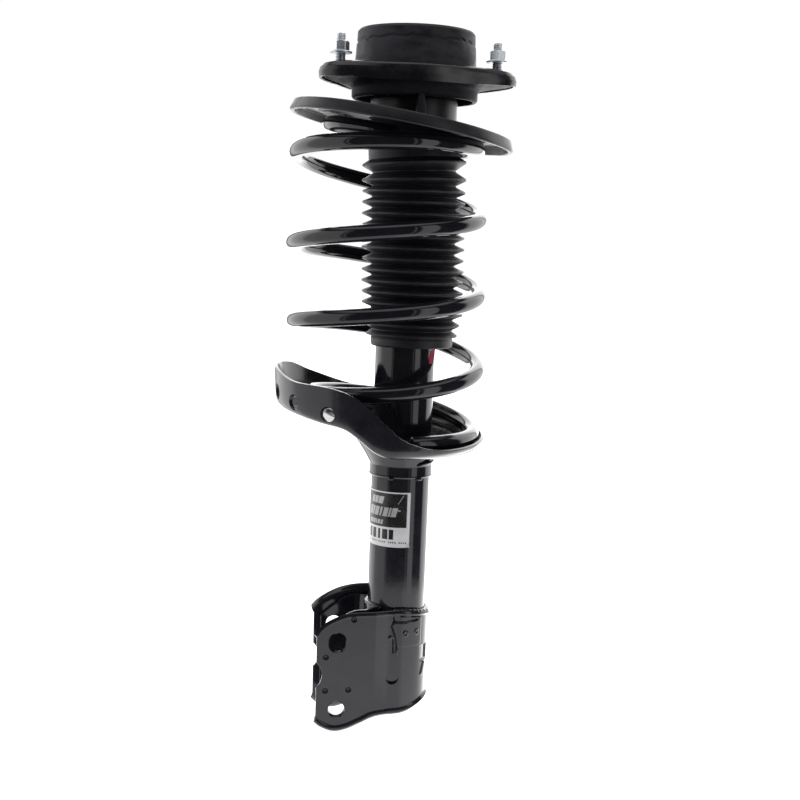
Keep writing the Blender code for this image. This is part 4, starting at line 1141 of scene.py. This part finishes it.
def build_mount_shells():
    count = 216
    shells = (("mount_top_plate", plate_section, MOUNT_PAINT, "mount_plate"),
              ("mount_housing_cup", housing_section, HOUSING_PAINT, "mount_housing"))
    for name, section, look, node in shells:
        columns = []
        for i in reversed(range(count)):
            degrees = i * 360 / count
            points = rounded(section(degrees), 1.0, closed=False, steps=4)
            columns.append([(*on_circle(r, degrees, ear_shift(r, degrees)), z) for r, z in points])
        rows = [list(row) for row in zip(*columns)]
        shell = sheet(name, rows, PLATE_SHEET, look, row_closed=True)
        if node == "mount_plate":
            cut(shell, stud_hole_cutter())
        keep(shell, "mount", node, slot="black_paint")


def stud_hole_cutter():
    bm = bmesh.new()
    for degrees in STUD_ANGLES:
        x, y = on_circle(STUD_CIRCLE_R, degrees, STUD_CIRCLE_X)
        bmesh.ops.create_cone(bm, cap_ends=True, segments=32, radius1=(STUD_R + 0.3) * MM,
                              radius2=(STUD_R + 0.3) * MM, depth=20 * MM,
                              matrix=Matrix.Translation(Vector((x, y, PLATE_TOP)) * MM))
    return from_bmesh("stud_holes", bm, None)


def build_mount_rubber():
    seat = PLATE_TOP - 0.7
    foot = RUBBER_LOW.z
    top = RUBBER_HIGH.z
    bore = PLATE_HOLE_R - 0.5
    profile = [(45.0, top, 1.2), (46.9, top - 2.0, 1.2), (47.2, top - 7.9, 0.5), (46.4, top - 9.1, 0.5),
               (46.5, top - 9.9, 0.5), (47.6, top - 10.9, 0.5), (48.6, PLATE_TOP + 4.5, 1.5),
               (49.2, seat, 0.4), (bore, seat, 0.3), (bore, seat - 4, 1.0), (42.0, foot, 0.8),
               (14.4, foot, 0.4), (14.4, 537.0, 0.5), (20.0, 541.0, 3), (30.0, 543.0, 3), (36.0, 558.0, 4),
               (39.0, top - 0.3, 1.0)]
    collar = turned("mount_rubber_collar", rounded(profile, 0.5, steps=5), MOUNT_RUBBER, 160, degrees=50)
    for vertex in collar.data.vertices:
        degrees = math.degrees(math.atan2(vertex.co.y, vertex.co.x)) % 360
        radius = math.hypot(vertex.co.x, vertex.co.y) / MM
        z = vertex.co.z / MM
        if radius < 45:
            continue
        if top - 12 < z < top - 7:
            vertex.co.z += 1.8 * noise.noise(Vector((vertex.co.x, vertex.co.y, 0)) * 160) * MM
        for spot in RUBBER_DENTS:
            across = ((degrees - spot + 180) % 360 - 180) * 0.82
            away = math.hypot(across / 3.0, (z - (top - 13.1)) / 1.6)
            if away < 1:
                shrink = 1 - 0.9 * smooth(1 - away) / radius
                vertex.co.x *= shrink
                vertex.co.y *= shrink
    keep(collar, "mount", "mount_rubber", slot="rubber")


def moved(rows, centre):
    return [[(x + centre[0], y + centre[1], z) for x, y, z in row] for row in rows]


def threaded(name, radius, foot, top, pitch, look, centre, head_foot, head_r):
    """A stud with a helical thread between foot and top, and a plain round head below."""
    steps = 36
    head = ((AXIS_R, 0.0), (head_r - 0.4, 0.0), (head_r, 0.4), (head_r, 2.6), (radius, 3.0))
    rows = [circle(r, head_foot + up, steps) for r, up in head]
    depth = 0.36 * pitch
    z = foot
    while z < top - 0.01:
        row = []
        for i in range(steps):
            phase = ((z - foot) / pitch - i / steps) % 1.0
            tooth = abs(2 * phase - 1)
            fade = smooth((z - foot) / pitch) * smooth((top - z) / (0.6 * pitch) + 0.15)
            taper = clamp((z - (top - 0.9)) / 0.9) * 0.5
            reach = radius - depth * clamp(1.25 * tooth - 0.12) * fade - taper
            row.append((*on_circle(reach, i * 360 / steps), z))
        rows.append(row)
        z += pitch / 8
    rows += [circle(radius - depth - 0.2, top, steps), circle(AXIS_R, top, steps)]
    rows = moved(rows, centre)
    return loft(name, rows, look, row_closed=True, caps=True, degrees=30)


def hex_radius(across_flats, degrees):
    off = (degrees + 30) % 60 - 30
    return across_flats / 2 / math.cos(math.radians(off))


def hex_nut(name, centre, across_flats, foot, top, bore, look, turn, flange=None):
    """A hexagon nut whose corners are cut by a cone at the top, with a flange below or a second cone."""
    steps = 72
    corner = across_flats / math.sqrt(3)
    sections = []
    if flange:
        reach, thick = flange
        sections += [(foot, reach - 0.3, False), (foot + 0.2, reach, False),
                     (foot + thick * 0.6, reach, False), (foot + thick * 0.85, reach - 0.5, False),
                     (foot + thick + 0.5, across_flats / 2 + 1.0, True), (foot + thick + 1.0, corner, True)]
    else:
        sections += [(foot, across_flats / 2 - 0.2, True), (foot + 1.1, corner, True)]
    sections += [(top - 1.3, corner, True), (top - 0.8, corner - 0.25, True),
                 (top - 0.25, across_flats / 2 + 0.1, True), (top, across_flats / 2 - 0.5, True)]
    rows = []
    for z, limit, hexed in sections:
        row = []
        for i in range(steps):
            degrees = i * 360 / steps
            radius = min(limit, hex_radius(across_flats, degrees - turn)) if hexed else limit
            row.append((*on_circle(radius, degrees), z))
        rows.append(row)
    bevels = ((top, bore + 0.7), (top - 0.6, bore), (foot + 0.5, bore), (foot, bore + 0.5))
    rows += [circle(radius, z, steps) for z, radius in bevels]
    rows = moved(rows, centre)
    return loft(name, rows, look, row_closed=True, ring=True, degrees=25)


def build_fasteners():
    foot = STUD_LOW.z
    for i, degrees in enumerate(STUD_ANGLES):
        centre = on_circle(STUD_CIRCLE_R, degrees, STUD_CIRCLE_X)
        n = i + 1
        stud = threaded(f"mount_stud_{n}", STUD_R, PLATE_TOP - 0.2, STUD_HIGH.z, STUD_PITCH, ZINC, centre,
                        foot, STUD_HEAD_R)
        keep(stud, "mount", f"stud_{n}", slot="zinc_plate")
        nut = hex_nut(f"mount_nut_{n}", centre, NUT_HEX_AF, NUT_LOW.z, NUT_HIGH.z, STUD_R + 0.15, ZINC,
                      degrees + 12 * i, (NUT_FLANGE_R, NUT_FLANGE_T))
        keep(nut, "mount", f"stud_nut_{n}", slot="zinc_plate")


def build_rod_end():
    low, high = span("rod_nut")
    nut = hex_nut("rod_lock_nut", (0, 0), 19.0, low.z, high.z, ROD_THREAD_R + 0.2, ZINC, 10)
    keep(nut, "mount", "rod_nut", slot="zinc_plate")
    low, high = span("rod_washer")
    bore = ROD_THREAD_R + 0.3
    ring = [(15.0, high.z, 0.5), (15.0, low.z, 0.5), (bore, low.z, 0.3), (bore, high.z, 0.3)]
    washer = turned("rod_plain_washer", rounded(ring, 0.4), ZINC, 72)
    keep(washer, "mount", "rod_washer", slot="zinc_plate")


def build_bearing():
    bm = bmesh.new()
    names = [f"ball_{i:02d}" for i in range(1, 13)]
    for name in names:
        ball_low, ball_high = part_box(name)
        bmesh.ops.create_icosphere(bm, subdivisions=3, radius=BALL_R * MM,
                                   matrix=Matrix.Translation((ball_low + ball_high) / 2))
    balls = from_bmesh("bearing_balls", bm, BRIGHT_STEEL, 180)
    keep(balls, "bearing_cage", *names, slot="bright_steel")


# --- carried-over nodes, studio and camera ---


CARRIED = {
    BRIGHT_STEEL: ("pressure_tube", "rebound_valve_disc", "compression_valve_disc", "bearing_lower_race",
                   "bearing_upper_race"),
    DARK_STEEL: ("base_valve", "rod_guide", "piston", "piston_nut", "mount_inner_sleeve",
                 "mount_support_plate"),
    BUSH_PLASTIC: ("piston_band", "rebound_stop", "ball_cage"),
    MOUNT_RUBBER: ("rod_seal",),
    CHROME: ("piston_rod",),
}


def finish_carried():
    for look, names in CARRIED.items():
        for name in names:
            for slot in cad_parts[name].material_slots:
                slot.material = look


def camera_azimuth(nodes, x, y):
    """Degrees round from the camera's side of the object, seen from above and growing towards +X."""
    camera_side = math.degrees(math.atan2(CAMERA_AT.x, -CAMERA_AT.y))
    azimuth = nodes.math("ARCTAN2", x, nodes.math("MULTIPLY", y, -1.0))
    return nodes.math("SUBTRACT", nodes.math("DEGREES", azimuth), camera_side)


def sector(nodes, azimuth, centre, half, edge, level):
    sides = nodes.math("MULTIPLY", nodes.ramp(azimuth, centre - half - edge, centre - half + edge),
                       nodes.ramp(azimuth, centre + half - edge, centre + half + edge, 1.0, 0.0))
    return nodes.math("MULTIPLY", sides, level)


def panel_light(nodes, azimuth):
    light = DARK_ROOM
    for centre, half, edge, level in SIDE_PANELS:
        light = nodes.math("MAXIMUM", light, sector(nodes, azimuth, centre, half, edge, level))
    return light


def by_ray(nodes, lit, seen, output):
    """The camera sees one shader, and every other ray meets the other."""
    mix = nodes.new("ShaderNodeMixShader")
    nodes.plug(nodes.new("ShaderNodeLightPath").outputs["Is Camera Ray"], mix.inputs[0])
    nodes.plug(lit.outputs[0], mix.inputs[1])
    nodes.plug(seen.outputs[0], mix.inputs[2])
    nodes.plug(mix.outputs[0], output.inputs["Surface"])


def split_xyz(nodes, vector):
    split = nodes.new("ShaderNodeSeparateXYZ")
    nodes.plug(vector, split.inputs[0])
    return split.outputs


def build_floor():
    """A plain floor below the foot. Reflections see a lit table near the object, and panels far off."""
    low = CAD_BOX[0].z - FLOOR_GAP
    bm = bmesh.new()
    bmesh.ops.create_grid(bm, x_segments=32, y_segments=32, size=FLOOR_HALF,
                          matrix=Matrix.Translation((0, 0, low)))
    from_bmesh("studio_floor", bm, FLOOR)
    tree = FLOOR.node_tree
    nodes = Nodes(tree)
    shader = tree.nodes["Principled BSDF"]
    shader.inputs["Emission Color"].default_value = (1, 1, 1, 1)
    shader.inputs["Emission Strength"].default_value = FLOOR_GLOW
    x, y, _ = split_xyz(nodes, nodes.new("ShaderNodeNewGeometry").outputs["Position"])
    squares = nodes.math("ADD", nodes.math("MULTIPLY", x, x), nodes.math("MULTIPLY", y, y))
    reach = nodes.math("SQRT", squares)
    azimuth = camera_azimuth(nodes, x, y)
    far = panel_light(nodes, azimuth)
    near = nodes.ramp(reach, 0.12, 0.42, *TABLE_LIGHT)
    near = nodes.math("MULTIPLY", near, nodes.ramp(azimuth, 16.0, 34.0, 1.0, TABLE_RIGHT_GAIN))
    behind = nodes.ramp(nodes.math("ABSOLUTE", azimuth), 80.0, 140.0, 1.0, TABLE_BACK_GAIN)
    near = nodes.math("MULTIPLY", near, behind)
    table = nodes.ramp(reach, TABLE_R - 0.05, TABLE_R + 0.05)
    lit = nodes.new("ShaderNodeEmission")
    level = nodes.new("ShaderNodeMix", data_type="FLOAT")
    for value, socket in ((table, "Factor"), (near, "A"), (far, "B")):
        nodes.plug(value, level.inputs[socket])
    nodes.plug(level.outputs["Result"], lit.inputs["Strength"])
    by_ray(nodes, lit, shader, tree.nodes["Material Output"])


CAMERA_AT = Vector((-0.1321, -1.1124, 0.410))
CAMERA_TURN = math.radians(7.0)
CAMERA_PITCH = math.radians(16.53)
CAMERA_ROLL = math.radians(2.19)
CAMERA_LENS = 58.25
CAMERA_SHIFT_Y = 0.2754
DARK_ROOM = 0.06
# (centre, half width, softness, radiance) of the tall panels, in degrees round from the camera
SIDE_PANELS = ((-78.0, 28.0, 3.0, 1.15), (-125.0, 25.0, 9.0, 2.0), (-45.5, 1.2, 0.6, 0.9),
               (33.0, 1.4, 0.6, 0.8), (51.0, 11.0, 2.0, 1.4), (126.0, 22.0, 6.0, 2.2),
               (168.0, 18.0, 1.5, 3.0), (-175.0, 17.0, 1.5, 3.0))
CEILING_LIGHT = 1.2
PLAIN_BACKDROP = 1.02
# The floor, in metres, and the radiance that reflections see on the table round the object
FLOOR_GAP = 0.0015
FLOOR_HALF = 8.0
FLOOR_GLOW = 0.75
TABLE_R = 0.46
TABLE_LIGHT = (1.45, 1.25)
TABLE_RIGHT_GAIN = 1.35
TABLE_BACK_GAIN = 1.9


def build_studio():
    world = bpy.data.worlds.new("studio")
    bpy.context.scene.world = world
    world.use_nodes = True
    tree = world.node_tree
    tree.nodes.clear()
    nodes = Nodes(tree)
    x, y, z = split_xyz(nodes, nodes.new("ShaderNodeTexCoord").outputs["Generated"])
    azimuth = camera_azimuth(nodes, x, y)
    ends = nodes.ramp(z, 0.62, 0.72, 1.0, 0.0)
    light = nodes.math("MULTIPLY", panel_light(nodes, azimuth), ends)
    light = nodes.math("MAXIMUM", light, nodes.ramp(z, 0.72, 0.9, 0.0, CEILING_LIGHT))
    shine = nodes.new("ShaderNodeBackground")
    nodes.plug(light, shine.inputs["Strength"])
    plain = nodes.new("ShaderNodeBackground")
    plain.inputs["Strength"].default_value = PLAIN_BACKDROP
    for background in (shine, plain):
        background.inputs["Color"].default_value = rgb(1, 1, 1)
    by_ray(nodes, shine, plain, nodes.new("ShaderNodeOutputWorld"))
    bpy.context.scene.view_settings.view_transform = "Standard"


def build_camera():
    data = bpy.data.cameras.new("camera")
    camera = bpy.data.objects.new("camera", data)
    bpy.context.scene.collection.objects.link(camera)
    bpy.context.scene.camera = camera
    level = Vector((math.sin(CAMERA_TURN), math.cos(CAMERA_TURN), 0))
    right = Vector((math.cos(CAMERA_TURN), -math.sin(CAMERA_TURN), 0))
    up = Vector((0, 0, 1))
    forward = level * math.cos(CAMERA_PITCH) - up * math.sin(CAMERA_PITCH)
    over = level * math.sin(CAMERA_PITCH) + up * math.cos(CAMERA_PITCH)
    image_right = right * math.cos(CAMERA_ROLL) + over * math.sin(CAMERA_ROLL)
    image_up = over * math.cos(CAMERA_ROLL) - right * math.sin(CAMERA_ROLL)
    turn = Matrix((image_right, image_up, -forward)).transposed()
    camera.matrix_world = Matrix.Translation(CAMERA_AT) @ turn.to_4x4()
    data.lens = CAMERA_LENS
    data.sensor_width = 36.0
    data.clip_start = 0.01
    data.clip_end = 100.0
    # The lens is shifted only where the camera stands at its own place, so that other views stay centred.
    driver = data.driver_add("shift_y").driver
    driver.type = "SCRIPTED"
    place = driver.variables.new()
    place.name = "x"
    place.type = "TRANSFORMS"
    place.targets[0].id = camera
    place.targets[0].transform_type = "LOC_X"
    place.targets[0].transform_space = "WORLD_SPACE"
    driver.expression = f"{CAMERA_SHIFT_Y} if abs(x - {CAMERA_AT.x:.4f}) < 0.001 else 0.0"


for build in (build_tube, build_label, build_red_mark, build_bracket, build_brace, build_lower_seat,
              build_collar, build_spring, build_upper_seat, build_boot, build_bump_stop,
              build_mount_shells, build_mount_rubber, build_fasteners, build_rod_end, build_bearing,
              finish_carried, build_floor, build_studio, build_camera):
    build()
